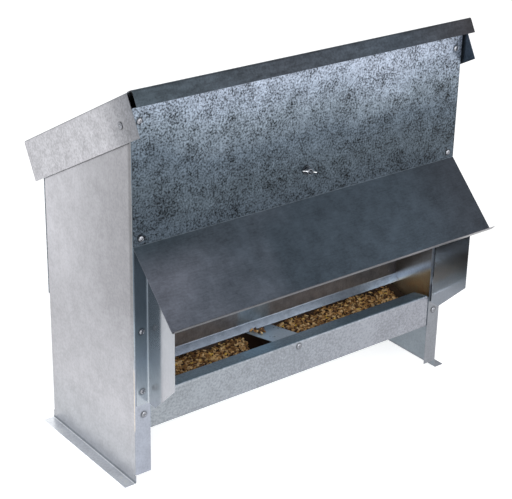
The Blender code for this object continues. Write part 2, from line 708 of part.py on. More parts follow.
def wing_nut(feeder, face, bore, base):
    """A tapered hub with two rounded ears, drawn upright on the bolt's axis and turned as it was left."""
    hub = [(NUT_TOP, base + NUT_HEIGHT), (NUT_BASE, base), (bore, base), (bore, base + NUT_HEIGHT)]
    turn = Vector(FORWARD).to_track_quat("Z", "Y").to_euler()
    obj = feeder.turned("wing_nut", hub + hub[:1], BRIGHT_STEEL, face, FORWARD)
    obj.rotation_euler = (turn.to_matrix() @ Matrix.Rotation(-NUT_TURN, 3, "Z")).to_euler()
    tip_radius = NUT_TIP
    tip = Vector((NUT_SPAN / 2 - tip_radius, base + NUT_WING_RISE - tip_radius))
    root = (bore + NUT_TOP) / 2
    outline = [(root, base + SHEET), (NUT_BASE, base + SHEET)]
    for step in range(NUT_TIP_STEPS + 1):
        angle = radians(-50 + 200 * step / NUT_TIP_STEPS)
        outline.append((tip.x + tip_radius * cos(angle), tip.y + tip_radius * sin(angle)))
    outline.append((root, base + NUT_HEIGHT - SHEET))
    for side, x_sign in (("left", -1), ("right", 1)):
        bm = bmesh.new()
        bm.faces.new([bm.verts.new((x_sign * x, 0, z)) for x, z in outline])
        mesh = bpy.data.meshes.new("ear_" + side)
        bm.to_mesh(mesh)
        bm.free()
        ear = feeder.add_cutter("ear_" + side, mesh, feeder.cutters, face, obj.rotation_euler)
        thickness = ear.modifiers.new("Thickness", "SOLIDIFY")
        thickness.thickness = NUT_WING_THICKNESS
        thickness.offset = 0
        joined = obj.modifiers.new("Join " + ear.name, "BOOLEAN")
        joined.operation = "UNION"
        joined.object = ear


def feed(feeder):
    """The feed lying in the trough, as one plain solid with its top just under the strap."""
    lift = SHEET + FEED_CLEARANCE
    bottom = Vector((0, TROUGH_BOTTOM + lift))
    slope_point, slope_way = floor_line(lift)
    top = Vector((0, strap_height(0) - SHEET / cos(TROUGH_LIP_FALL) - FEED_DROP))
    top_way = Vector((cos(TROUGH_LIP_FALL), -sin(TROUGH_LIP_FALL)))
    heel = meet(bottom, Vector((1, 0)), slope_point, slope_way)
    back = meet(top, top_way, slope_point, slope_way)
    front = meet(top, top_way, Vector((FEED_FRONT, 0)), Vector((0, 1)))
    outline = [(FEED_FRONT, bottom.y), heel, back, front]
    bm = bmesh.new()
    half = INNER_HALF - FEED_CLEARANCE
    section = bm.faces.new([bm.verts.new((-half, y, z)) for y, z in outline])
    swept = bmesh.ops.extrude_face_region(bm, geom=[section])
    moved = [item for item in swept["geom"] if isinstance(item, bmesh.types.BMVert)]
    bmesh.ops.translate(bm, vec=(2 * half, 0, 0), verts=moved)
    bmesh.ops.recalc_face_normals(bm, faces=bm.faces)
    mesh = bpy.data.meshes.new("feed_grain")
    bm.to_mesh(mesh)
    bm.free()
    feeder.add("feed_grain", mesh, GRAIN)


def build():
    """Model the whole feeder."""
    clear_scene()
    feeder = Feeder()
    rivets(feeder)
    clamp(feeder)
    side_panel(feeder, "side_panel_right", False)
    side_panel(feeder, "side_panel_left", True)
    flat_panel(feeder, "front_panel", FRONT_PANEL_FACE, FRONT_PANEL_BOTTOM, FRONT_PANEL_TOP, -1)
    flat_panel(feeder, "back_panel", BODY_DEPTH + BEHIND_FLANGE, BACK_PANEL_BOTTOM, back_panel_top(), 1)
    visor(feeder)
    wing(feeder, "wing_right", False)
    wing(feeder, "wing_left", True)
    trough_pan(feeder)
    trough_strap(feeder)
    feed_regulator(feeder)
    lid(feeder)
    feed(feeder)


if __name__ == "__main__":
    build()
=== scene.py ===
"""Looks of a galvanised trough feeder for poultry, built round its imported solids.

The folded sheets keep their solids and get zinc finishes. The rivets, the clamp and the feed are
modelled here in finer detail than the solids that they stand for. Lengths are in metres, in the
solids' own frame: X along the trough, Y from the feeding side to the back, Z up.
"""

import logging
import random
from collections.abc import Callable, Iterable, Sequence
from dataclasses import dataclass, field
from enum import Enum
from functools import partial
from math import cos, pi, radians, sin, sqrt, tan
from typing import Any

import bmesh
import bpy
from mathutils import Matrix, Vector


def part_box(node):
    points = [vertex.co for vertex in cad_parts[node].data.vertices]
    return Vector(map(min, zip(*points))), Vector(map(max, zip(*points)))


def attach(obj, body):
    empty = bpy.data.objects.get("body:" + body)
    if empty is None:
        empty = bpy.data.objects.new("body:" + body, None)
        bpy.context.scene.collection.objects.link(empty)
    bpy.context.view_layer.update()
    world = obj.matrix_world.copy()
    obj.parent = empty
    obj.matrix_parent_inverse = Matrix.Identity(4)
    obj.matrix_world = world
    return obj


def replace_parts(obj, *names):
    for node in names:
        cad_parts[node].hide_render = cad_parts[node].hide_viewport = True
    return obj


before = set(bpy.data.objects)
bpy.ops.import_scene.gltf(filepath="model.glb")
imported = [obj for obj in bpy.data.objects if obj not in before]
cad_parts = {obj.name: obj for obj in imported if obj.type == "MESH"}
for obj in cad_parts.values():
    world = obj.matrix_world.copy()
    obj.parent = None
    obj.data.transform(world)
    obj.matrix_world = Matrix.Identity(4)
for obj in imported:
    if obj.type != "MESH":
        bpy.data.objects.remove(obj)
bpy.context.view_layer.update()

BMesh = bmesh.types.BMesh
Material = bpy.types.Material
Piece = bpy.types.Object
Socket = bpy.types.NodeSocket
Span = tuple[float, float]
Outline = tuple[Span, ...]
Stops = Sequence[tuple[float, str]]
Triple = tuple[float, float, float]

LOG = logging.getLogger("feeder")
KERNEL_TONE = "kernel_tone"
STRAP_FOOT_RIVET = "strap_foot_rivet"
LEVELS = ("upper", "lower")
FORWARD = Vector((0, -1, 0))
ALONG = (-0.25, 0.25)
RIGHT_HALF = 0.1
TROUGH_FALL = radians(11.3)
TROUGH_BACK_RISE = 0.9
SHARPEST_SMOOTH = radians(38)
SAME_POINT = 1e-6
NO_LENGTH = 1e-7
WHITE = (1.0, 1.0, 1.0, 1.0)


class Body(str, Enum):
    """The bodies that new pieces ride on."""

    FRAME = "body"
    WING_NUT = "wing_nut"


class Slot(str, Enum):
    """Names of material slots, which no piece here takes."""

    RIVET = "rivet_metal"
    ZINC = "zinc_steel"
    GRAIN = "grain"


class Side(Enum):
    """The two ends of the feeder, with the sign of their X."""

    LEFT = -1
    RIGHT = 1

    @property
    def label(self) -> str:
        """The side's name as the nodes spell it."""
        return self.name.lower()


def tint(code: str) -> Triple:
    """Turn a six-figure hex colour, as seen on screen, into linear red, green and blue.

    Args:
        code: The colour, such as "a9b4c3".

    Returns:
        The three linear values.
    """
    parts = [int(code[at : at + 2], 16) / 255 for at in (0, 2, 4)]
    return tuple(part / 12.92 if part <= 0.04045 else ((part + 0.055) / 1.055) ** 2.4 for part in parts)


def _operator(operation: str, swapped: bool = False) -> Callable[["Value", Any], "Value"]:
    """Make an operator of Value that adds a Math node.

    Args:
        operation: The node's operation.
        swapped: Whether the other operand comes first.

    Returns:
        The operator.
    """

    def use(value: "Value", other: Any) -> "Value":
        """Add the node."""
        pair = (other, value) if swapped else (value, other)
        return value.graph.value("ShaderNodeMath", {"operation": operation}, dict(enumerate(pair)))

    return use


class Value:
    """One number in a material, which adds Math nodes when it is used in a sum."""

    def __init__(self, graph: "Nodes", socket: Socket) -> None:
        """Wrap a socket of a graph."""
        self.graph, self.socket = graph, socket

    __add__, __radd__ = _operator("ADD"), _operator("ADD", swapped=True)
    __sub__, __rsub__ = _operator("SUBTRACT"), _operator("SUBTRACT", swapped=True)
    __mul__, __rmul__ = _operator("MULTIPLY"), _operator("MULTIPLY", swapped=True)
    __truediv__, __rtruediv__ = _operator("DIVIDE"), _operator("DIVIDE", swapped=True)
    most = _operator("MAXIMUM")

    def __abs__(self) -> "Value":
        """The value without its sign."""
        return self.graph.value("ShaderNodeMath", {"operation": "ABSOLUTE"}, {0: self})

    def step(self, low: float, high: float) -> "Value":
        """Rise smoothly from 0 at the low value to 1 at the high one, or fall where low is higher.

        Args:
            low: The value that gives 0.
            high: The value that gives 1.

        Returns:
            The mask.
        """
        ends = (low, high, 0.0, 1.0) if low <= high else (high, low, 1.0, 0.0)
        settings = {"interpolation_type": "SMOOTHSTEP", "clamp": True}
        return self.graph.value("ShaderNodeMapRange", settings, dict(enumerate((self, *ends))))

    def near(self, at: float, span: Span) -> "Value":
        """Step between two distances from a place."""
        return self.step(at + span[0], at + span[1])


class Nodes:
    """The nodes of one material or of the world."""

    def __init__(self, owner: Material | bpy.types.World) -> None:
        """Start afresh.

        Args:
            owner: The material or the world.
        """
        owner.use_nodes = True
        self.tree = owner.node_tree
        self.tree.nodes.clear()

    def node(self, kind: str, settings: dict[str, Any], inputs: dict[Any, Any]) -> bpy.types.Node:
        """Add a node, set it up, then fill or link its sockets.

        Args:
            kind: The node's type.
            settings: Its settings by name. "stops" sets a ramp's colours.
            inputs: A value, a socket or a Value for each socket, by name or number.

        Returns:
            The node.
        """
        made = self.tree.nodes.new(kind)
        for name, setting in settings.items():
            if name == "stops":
                self._set_stops(made.color_ramp, setting)
            else:
                setattr(made, name, setting)
        for name, given in inputs.items():
            socket = made.inputs[name]
            given = given.socket if isinstance(given, Value) else given
            if isinstance(given, Socket):
                self.tree.links.new(given, socket)
            else:
                socket.default_value = given
        return made

    @staticmethod
    def _set_stops(ramp: bpy.types.ColorRamp, stops: Stops) -> None:
        """Give a ramp its colours.

        Args:
            ramp: The ramp.
            stops: Places from 0 to 1, each with its hex colour.
        """
        while len(ramp.elements) < len(stops):
            ramp.elements.new(1.0)
        for element, (at, code) in zip(ramp.elements, stops):
            element.position = at
            element.color = (*tint(code), 1.0)

    def value(self, kind: str, settings: dict[str, Any], inputs: dict[Any, Any], output: Any = 0) -> Value:
        """Add a node and wrap one of its outputs."""
        return Value(self, self.node(kind, settings, inputs).outputs[output])

    def seen(self) -> Value:
        """1 for rays from the camera and for the ones that metal and glass show, and 0 for light."""
        path = self.node("ShaderNodeLightPath", {}, {})
        rays = [Value(self, path.outputs[f"Is {name} Ray"]) for name in ("Camera", "Glossy", "Transmission")]
        return self.value("ShaderNodeClamp", {}, {0: rays[0] + rays[1] + rays[2]})


class Graph(Nodes):
    """The nodes of one material, with the place on the piece that it colours."""

    noise_roughness: float = 0.55

    def __init__(self, name: str) -> None:
        """Start an empty material.

        Args:
            name: The material's name.
        """
        self.material = bpy.data.materials.new(name)
        super().__init__(self.material)
        self.place = self.node("ShaderNodeTexCoord", {}, {}).outputs["Object"]
        parts = self.node("ShaderNodeSeparateXYZ", {}, {0: self.place})
        self.x, self.y, self.z = (Value(self, parts.outputs[at]) for at in range(3))

    def ramp(self, along: Value, start: float, end: float, stops: Stops) -> Socket:
        """Colour a distance with a ramp.

        Args:
            along: The distance.
            start: Where the ramp's 0 lies.
            end: Where its 1 lies.
            stops: Places from 0 to 1, each with its hex colour.

        Returns:
            The colour's socket.
        """
        share = (along - start) / (end - start)
        return self.node("ShaderNodeValToRGB", {"stops": stops}, {0: share}).outputs["Color"]

    def plain(self, code: str) -> Socket:
        """One colour as a socket."""
        stops = [(0.0, code), (1.0, code)]
        return self.node("ShaderNodeValToRGB", {"stops": stops}, {0: 0.0}).outputs["Color"]

    def mix(self, share: Any, first: Any, second: Any) -> Socket:
        """Mix two colours.

        Args:
            share: How much of the second colour shows.
            first: The first colour, a socket or a hex code.
            second: The second colour, a socket or a hex code.

        Returns:
            The mixed colour's socket.
        """
        pair = [(*tint(given), 1.0) if isinstance(given, str) else given for given in (first, second)]
        settings = {"data_type": "RGBA", "blend_type": "MIX"}
        return self.node("ShaderNodeMix", settings, {0: share, 6: pair[0], 7: pair[1]}).outputs[2]

    def scaled(self, colour: Socket, factor: Value) -> Socket:
        """Make a colour lighter or darker by a factor."""
        inputs = {0: colour, "Scale": factor}
        return self.node("ShaderNodeVectorMath", {"operation": "SCALE"}, inputs).outputs[0]

    def stretched(self, scale: Triple) -> Socket:
        """The place, scaled by a factor for each axis."""
        inputs = {0: self.place, 1: scale}
        return self.node("ShaderNodeVectorMath", {"operation": "MULTIPLY"}, inputs).outputs[0]

    def noise(self, size: float, detail: float = 2.0, place: Any = None, seed: float = 0.0) -> Value:
        """A noise from about 0.3 to 0.7, with blotches of about a size.

        Args:
            size: The size of a blotch.
            detail: How many finer octaves it has.
            place: Where it is looked up, or None for the place itself.
            seed: A shift that gives another pattern.

        Returns:
            The noise.
        """
        inputs = {"Vector": self.place if place is None else place, "W": seed, "Scale": 1 / size}
        inputs |= {"Detail": detail, "Roughness": self.noise_roughness}
        return self.value("ShaderNodeTexNoise", {"noise_dimensions": "4D"}, inputs)

    def distance(self, centre: Vector, place: Any = None) -> Value:
        """The distance from a point, of another place where one is given."""
        inputs = {0: self.place if place is None else place, 1: tuple(centre)}
        return self.value("ShaderNodeVectorMath", {"operation": "DISTANCE"}, inputs, "Value")

    def finish(
        self, base: Any, roughness: Any, metallic: float, bumps: Iterable[tuple[Value, float]]
    ) -> Material:
        """Close the material with its shader.

        Args:
            base: The base colour's socket.
            roughness: The roughness, a number or a Value.
            metallic: How metallic the surface is.
            bumps: Heights from 0 to 1, each with how high its 1 stands.

        Returns:
            The material.
        """
        shading = {"Base Color": base, "Roughness": roughness, "Metallic": metallic}
        for height, rise in bumps:
            inputs = {"Height": height, "Distance": rise, "Strength": 1.0}
            inputs |= {"Normal": shading["Normal"]} if "Normal" in shading else {}
            shading["Normal"] = self.node("ShaderNodeBump", {}, inputs).outputs[0]
        shader = self.node("ShaderNodeBsdfPrincipled", {}, shading)
        self.node("ShaderNodeOutputMaterial", {}, {0: shader.outputs[0]})
        return self.material


Tone = Callable[[Graph], Socket]


@dataclass(frozen=True)
class Zinc:
    """How a zinc coating looks on a sheet: its crystals, streaks, dents with painted shade round the rivets, and
    gloss.
    """

    speckle: float = 0.18
    speckle_size: float = 0.0030
    speckle_detail: float = 3.5
    speckle_rough: float = 0.05
    dark: Span = (0.38, 0.66)
    patch_ratio: float = 2.4
    patch_pull: float = 0.25
    glint: float = 0.0
    glint_ratio: float = 0.8
    bright: Span = (0.50, 0.66)
    facet_ratio: float = 1.6
    facet_share: float = 0.25
    blotch: float = 0.22
    blotch_size: float = 0.022
    blotch_detail: float = 2.5
    blotch_rough: float = 0.12
    streak: float = 0.05
    streak_size: float = 0.0022
    streak_scale: Triple = (4.0, 4.0, 0.2)
    swing: float = 2.2
    dent: Span = (0.0064, 0.0038)
    dent_shade: float = 0.5
    dent_rise: float = -0.0003
    roughness: float = 0.34
    metallic: float = 0.92
    grain_rise: float = 0.00004
    ripple_rise: float = 0.0006
    ripple_size: float = 0.12

    def material(self, name: str, tone: Tone, rivets: Sequence[Vector] = ()) -> Material:
        """Make the finish for one sheet.

        Args:
            name: The material's name.
            tone: Gives the sheet's colour without its crystals.
            rivets: Centres of rivets that press a small dent into the sheet, with painted shade round each head.

        Returns:
            The material.
        """
        graph = Graph(name)
        fine = graph.noise(self.speckle_size, self.speckle_detail)
        broad = graph.noise(self.blotch_size, self.blotch_detail, seed=3.0)
        patch = graph.noise(self.blotch_size * self.patch_ratio, 1.0, seed=7.0)
        dark = (fine + (patch - 0.5) * self.patch_pull).step(*self.dark)
        bright = graph.noise(self.speckle_size * self.glint_ratio, 1.0, seed=9.0).step(*self.bright)
        cells = {"Vector": graph.place, "Scale": 1 / (self.speckle_size * self.facet_ratio)}
        facet = graph.value("ShaderNodeTexVoronoi", {"feature": "F1"}, cells, "Color")
        lines = graph.noise(self.streak_size, 1.0, graph.stretched(self.streak_scale), seed=5.0)
        shade = 1.0 + (0.5 - dark) * self.speckle + (facet - 0.5) * (self.speckle * self.facet_share)
        shade = shade + bright * self.glint + (broad - 0.5) * (self.swing * self.blotch)
        shade = shade + (lines - 0.5) * (self.swing * self.streak)
        rough = self.roughness + (broad - 0.5) * self.blotch_rough + dark * self.speckle_rough
        ripple = graph.noise(self.ripple_size, 0.0, seed=11.0)
        bumps = [(ripple, self.ripple_rise), (fine, self.grain_rise)]
        dent = self._dents(graph, rivets)
        # painted shade: a dark ring round each rivet head, beside the dent's bump
        if dent is not None:
            shade = shade * (1.0 - dent * self.dent_shade)
            bumps.append((dent, self.dent_rise))
        return graph.finish(graph.scaled(tone(graph), shade), rough, self.metallic, bumps)

    def _dents(self, graph: Graph, rivets: Sequence[Vector]) -> Value | None:
        """Mark where the rivets press on the sheet, and where painted shade rings their heads.

        Args:
            graph: The sheet's nodes.
            rivets: The rivets' centres.

        Returns:
            A mask that is 1 at each rivet and falls off round its head, or None without rivets.
        """
        dent = None
        for centre in rivets:
            near = graph.distance(centre).step(*self.dent)
            dent = near if dent is None else dent.most(near)
        return dent


@dataclass(frozen=True)
class Bright:
    """A bright turned or forged fastener."""

    code: str = "8a8c92"
    roughness: float = 0.16
    scuff: float = 0.35
    scuff_size: float = 0.0012
    scuff_rough: float = 0.2
    scuff_rise: float = 0.00004
    hub: str = ""
    hub_radius: float = 0.0050
    hub_fade: float = 0.002

    def material(self, name: str, axis: Vector | None = None) -> Material:
        """Make the finish, with fine scuffs.

        Args:
            name: The material's name.
            axis: A point on the fastener's axis, where it has a darker hub.

        Returns:
            The material.
        """
        graph = Graph(name)
        colour = graph.plain(self.code)
        if axis is not None:
            out = graph.distance(Vector((axis.x, 0.0, axis.z)), graph.stretched((1.0, 0.0, 1.0)))
            colour = graph.mix(out.step(self.hub_radius + self.hub_fade, self.hub_radius), colour, self.hub)
        scuff = graph.noise(self.scuff_size, 3.0)
        shade = 1.0 + (scuff - 0.5) * self.scuff
        rough = self.roughness + (scuff - 0.5) * self.scuff_rough
        return graph.finish(graph.scaled(colour, shade), rough, 1.0, [(scuff, self.scuff_rise)])


@dataclass(frozen=True)
class Grains:
    """Loose feed, coloured grain by grain from an attribute."""

    stops: Stops = (
        (0.0, "2a1a10"),
        (0.25, "6b4a2c"),
        (0.5, "b5854c"),
        (0.75, "e6b675"),
        (0.94, "f8d8a2"),
        (1.0, "f2c448"),
    )
    husk_size: float = 0.0011
    husk_rise: float = 0.00012
    darkest: float = 0.75
    husk_share: float = 0.5
    roughness: float = 0.62

    def material(self, name: str) -> Material:
        """Make the finish, with a fine uneven husk on each grain.

        Args:
            name: The material's name.

        Returns:
            The material.
        """
        graph = Graph(name)
        pick = graph.value("ShaderNodeAttribute", {"attribute_name": KERNEL_TONE}, {}, "Fac")
        husk = graph.noise(self.husk_size)
        colour = graph.scaled(graph.ramp(pick, 0.0, 1.0, self.stops), self.darkest + husk * self.husk_share)
        return graph.finish(colour, self.roughness, 0.0, [(husk, self.husk_rise)])


def node_box(name: str) -> tuple[Vector, Vector]:
    """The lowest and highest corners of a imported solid's box."""
    low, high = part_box(name)
    return Vector(low), Vector(high)


def node_centre(name: str) -> Vector:
    """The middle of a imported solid's box."""
    low, high = node_box(name)
    return (low + high) / 2


def dress(name: str, material: Material) -> None:
    """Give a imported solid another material.

    Args:
        name: The solid's node.
        material: Its finish.
    """
    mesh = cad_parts[name].data
    mesh.materials.clear()
    mesh.materials.append(material)
    LOG.info("dressed %s", name)


def put_in_scene(name: str, data: bpy.types.ID) -> Piece:
    """Make an object and link it to the scene.

    Args:
        name: The object's name.
        data: Its mesh, lamp or camera.

    Returns:
        The object.
    """
    made = bpy.data.objects.new(name, data)
    bpy.context.scene.collection.objects.link(made)
    return made


def mesh_of(name: str, bm: BMesh) -> bpy.types.Mesh:
    """Turn a finished bmesh into a mesh, and free it.

    Args:
        name: The mesh's name.
        bm: Its shape.

    Returns:
        The mesh.
    """
    mesh = bpy.data.meshes.new(name)
    bm.to_mesh(mesh)
    bm.free()
    return mesh


def add_piece(
    name: str, bm: BMesh, material: Material, body: Body
) -> Piece:
    """Turn a finished bmesh into a piece that rides on a body.

    Args:
        name: The piece's name.
        bm: Its shape, in place. It is freed.
        material: Its finish.
        body: The body that carries it.

    Returns:
        The new object.
    """
    mesh = mesh_of(name, bm)
    mesh.materials.append(material)
    piece = put_in_scene(name, mesh)
    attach(piece, body.value)
    LOG.info("built %s: %d faces on %s", name, len(mesh.polygons), body.value)
    return piece


def turned(profile: Sequence[Span], steps: int, placed: Matrix) -> BMesh:
    """Spin a profile round the Z axis and put it in place.

    Args:
        profile: Points of (radius, height) from the axis out and round, back to the axis or its start.
        steps: How many steps a full turn has.
        placed: Where the turned shape goes.

    Returns:
        The shape, closed and facing outwards.
    """
    bm = bmesh.new()
    ring = [bm.verts.new((radius, 0.0, height)) for radius, height in profile]
    edges = [bm.edges.new(pair) for pair in zip(ring, ring[1:])]
    if profile[0][0] > 0:
        edges.append(bm.edges.new((ring[-1], ring[0])))
    centre, axis = (0, 0, 0), (0, 0, 1)
    bmesh.ops.spin(
        bm, geom=ring + edges, cent=centre, axis=axis, dvec=centre, angle=2 * pi, steps=steps, use_merge=True
    )
    bmesh.ops.remove_doubles(bm, verts=bm.verts, dist=SAME_POINT)
    bmesh.ops.dissolve_degenerate(bm, edges=bm.edges, dist=NO_LENGTH)
    bmesh.ops.recalc_face_normals(bm, faces=bm.faces)
    bmesh.ops.transform(bm, matrix=placed, verts=bm.verts)
    smooth(bm, SHARPEST_SMOOTH)
    return bm


def smooth(bm: BMesh, limit: float = pi) -> None:
    """Shade a shape smooth, and keep the edges that are sharper than a limit.

    Args:
        bm: The shape.
        limit: The angle from which an edge stays sharp.
    """
    for face in bm.faces:
        face.smooth = True
    if limit < pi:
        for edge in bm.edges:
            if len(edge.link_faces) == 2:
                edge.smooth = edge.calc_face_angle(0.0) < limit


def facing(outward: Vector, at: Vector, about: float = 0.0) -> Matrix:
    """A frame at a point whose Z axis points outwards, turned about that axis."""
    aimed = outward.to_track_quat("Z", "Y").to_matrix().to_4x4()
    return Matrix.Translation(at) @ aimed @ Matrix.Rotation(about, 4, "Z")


def add_turned(
    node: str, profile: Sequence[Span], steps: int, placed: Matrix, material: Material
) -> None:
    """Build a turned piece of the frame in a solid's place.

    Args:
        node: The solid that it replaces.
        profile: Its section, as turned() takes it.
        steps: How many steps a full turn has.
        placed: Where it goes.
        material: Its finish.
    """
    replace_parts(add_piece(node + "_turned", turned(profile, steps, placed), material, Body.FRAME), node)


def mid_box(low: Vector, high: Vector, y: float) -> Vector:
    """The middle of a box seen from the front, at a depth."""
    return Vector(((low.x + high.x) / 2, y, (low.z + high.z) / 2))


@dataclass
class SidePanels:
    """The two side walls with their front flanges and folded feet."""

    look: Zinc = Zinc(speckle=0.12, blotch=0.18, blotch_size=0.018, streak=0.12, roughness=0.30)
    # painted light and shade on the outer wall: the tone by height, the lift and the darker band along the front
    # fold
    wall_stops: Stops = (
        (0.0, "a0a2a7"), (0.07, "a9abb0"), (0.20, "b0b0b5"), (0.30, "aaaaaf"), (0.47, "a4a4a9"), (1.0, "acacb1"),
    )
    wall_height: float = 0.45
    front_margin: float = 0.010
    lift_at: Span = (0.16, 0.26)
    lift: Span = (0.25, 0.5)
    crease_at: Span = (0.0085, 0.0035)
    crease_rise: Span = (0.14, 0.30)
    crease_shade: float = 0.38
    # painted reflections on the inner face: the feed's brown, a blue band from the regulator's lip and the
    # regulator's grey wall
    mirror_stops: Stops = (
        (0.0, "fceac6"), (0.215, "fceac6"), (0.23, "c0c8d2"), (0.242, "c0c8d2"), (0.258, "94908c"), (1.0, "94908c"),
    )
    mirror_start: float = 0.014
    mirror_fall: float = 0.66
    # painted shade: below the trough the inner face is a plain grey, darker than the outer wall
    below_floor: str = "848c93"
    floor_at: Span = (0.072, 0.076)
    floor_flat: float = 0.090
    inner_face: Span = (-0.0003, -0.0005)
    # painted light and shade on the front flange: light low down and shaded dark up under the visor on the left,
    # painted lighter above 0.14 m on the right
    flange_stops: Stops = (
        (0.0, "999eaa"), (0.30, "9da2ad"), (0.36, "9ba4ad"), (0.42, "87929c"), (0.47, "707a84"), (0.55, "59646e"),
        (1.0, "59646e"),
    )
    flange_height: float = 0.5
    flange_face: Span = (0.0014, 0.0009)
    right_flange: tuple[str, str] = ("808389", "c4c8ce")
    right_change: Span = (0.132, 0.140)
    # painted shadow: a dark line along the wall just above its foot
    foot: str = "7c8188"
    foot_shadow_at: Span = (0.0046, 0.0030)
    foot_reach: float = 0.0155
    # painted light: the top of the left foot is painted near white, the right one darker
    soles: tuple[str, str] = ("eef2f8", "7d828a")
    sole_at: Span = (0.0013, 0.0010)

    def build(self) -> None:
        """Dress both side walls."""
        for side in Side:
            name = f"side_panel_{side.label}"
            tone = partial(self._tone, side, *node_box(name))
            dress(name, self.look.material(name + "_zinc", tone, [node_centre(f"leg_rivet_{side.label}")]))

    def _tone(self, side: Side, low: Vector, high: Vector, graph: Graph) -> Socket:
        """Colour one side with painted light, shade and reflections: wall, inner face, front flange and foot.

        Args:
            side: Which side it is.
            low: The panel's lowest corner.
            high: Its highest corner.
            graph: The finish's nodes.

        Returns:
            The colour.
        """
        # painted light: above 0.16 m the wall is lighter to the back and darker near the front; painted shade
        # darkens a band along the front fold
        forward = graph.y.step(high.y, low.y + self.front_margin)
        lift = graph.z.step(*self.lift_at) * (self.lift[0] - forward * self.lift[1])
        crease = graph.y.near(low.y, self.crease_at) * graph.z.step(*self.crease_rise)
        wall = graph.ramp(graph.z, 0.0, self.wall_height, self.wall_stops)
        wall = graph.scaled(wall, (1.0 + lift) * (1.0 - crease * self.crease_shade))
        # painted reflections above the trough floor, painted shade below it
        mirrored = graph.z + (graph.y - self.mirror_start) * self.mirror_fall
        mirrored = graph.ramp(mirrored, 0.0, self.wall_height, self.mirror_stops)
        over_slope = graph.z - (graph.y - low.y - self.floor_flat) * TROUGH_BACK_RISE
        in_trough = graph.z.step(*self.floor_at) * over_slope.step(*self.floor_at)
        inside = graph.mix(in_trough, self.below_floor, mirrored)
        outer = max(abs(low.x), abs(high.x)) - self.foot_reach
        inward = (graph.x * side.value).near(outer, self.inner_face)
        colour = graph.mix(inward, wall, inside)
        # painted shade under the visor on the left flange, painted light above 0.14 m on the right one
        rightward = graph.x.step(0.0, RIGHT_HALF)
        right = graph.mix(graph.z.step(*self.right_change), *self.right_flange)
        left = graph.ramp(graph.z, 0.0, self.flange_height, self.flange_stops)
        flange = graph.mix(rightward, left, right)
        colour = graph.mix(graph.y.near(low.y, self.flange_face), colour, flange)
        # painted shadow along the foot of the wall
        colour = graph.mix(graph.z.step(*self.foot_shadow_at), colour, self.foot)
        # painted light on the tops of the feet
        return graph.mix(graph.z.step(*self.sole_at), colour, graph.mix(rightward, *self.soles))


@dataclass
class Panels:
    """The front panel and the back panel."""

    look: Zinc = Zinc(
        speckle=1.45, speckle_size=0.0025, glint=0.50, blotch=0.85, blotch_size=0.010, streak=0.04, roughness=0.36
    )
    # painted shading: the front panel is dark at the bottom and light at the top
    stops: Stops = (
        (0.0, "373f47"), (0.20, "3a4249"), (0.50, "434c55"), (0.70, "5b646d"), (0.85, "6f7884"), (1.0, "7d8592"),
    )
    # the ramp tilts lighter to the right, wanders at random, and drops darker at the left end as painted shade
    tilt: float = 0.035
    wander: float = 0.06
    wander_size: float = 0.09
    left_end: Span = (-0.17, -0.24)
    left_shade_drop: float = 0.016
    back_look: Zinc = Zinc(speckle=0.6, glint=0.15, blotch=0.35, roughness=0.36, metallic=0.6)
    back_code: str = "a2abb5"

    def build(self) -> None:
        """Dress both panels."""
        front = [node_centre(f"front_panel_rivet_{side.label}_{row}") for side in Side for row in LEVELS]
        front.append(node_centre("regulator_washer"))
        dress("front_panel", self.look.material("front_panel_zinc", self._tone, front))
        back = [node_centre(f"back_rivet_{side.label}_{row}") for side in Side for row in (1, 2, 3)]
        back_tone = partial(Graph.plain, code=self.back_code)
        dress("back_panel", self.back_look.material("back_panel_zinc", back_tone, back))

    def _tone(self, graph: Graph) -> Socket:
        """Colour the front panel with painted shading: lighter at the top and to the right, darker at the bottom and
        at the left end.

        Args:
            graph: The finish's nodes.

        Returns:
            The colour.
        """
        low, high = node_box("front_panel")
        wander = (graph.noise(self.wander_size, seed=2.0) - 0.5) * self.wander
        wander = wander - graph.x.step(*self.left_end) * self.left_shade_drop
        # painted shading by height, tilted and darkened at the left end
        return graph.ramp(graph.z + graph.x * self.tilt + wander, low.z, high.z, self.stops)


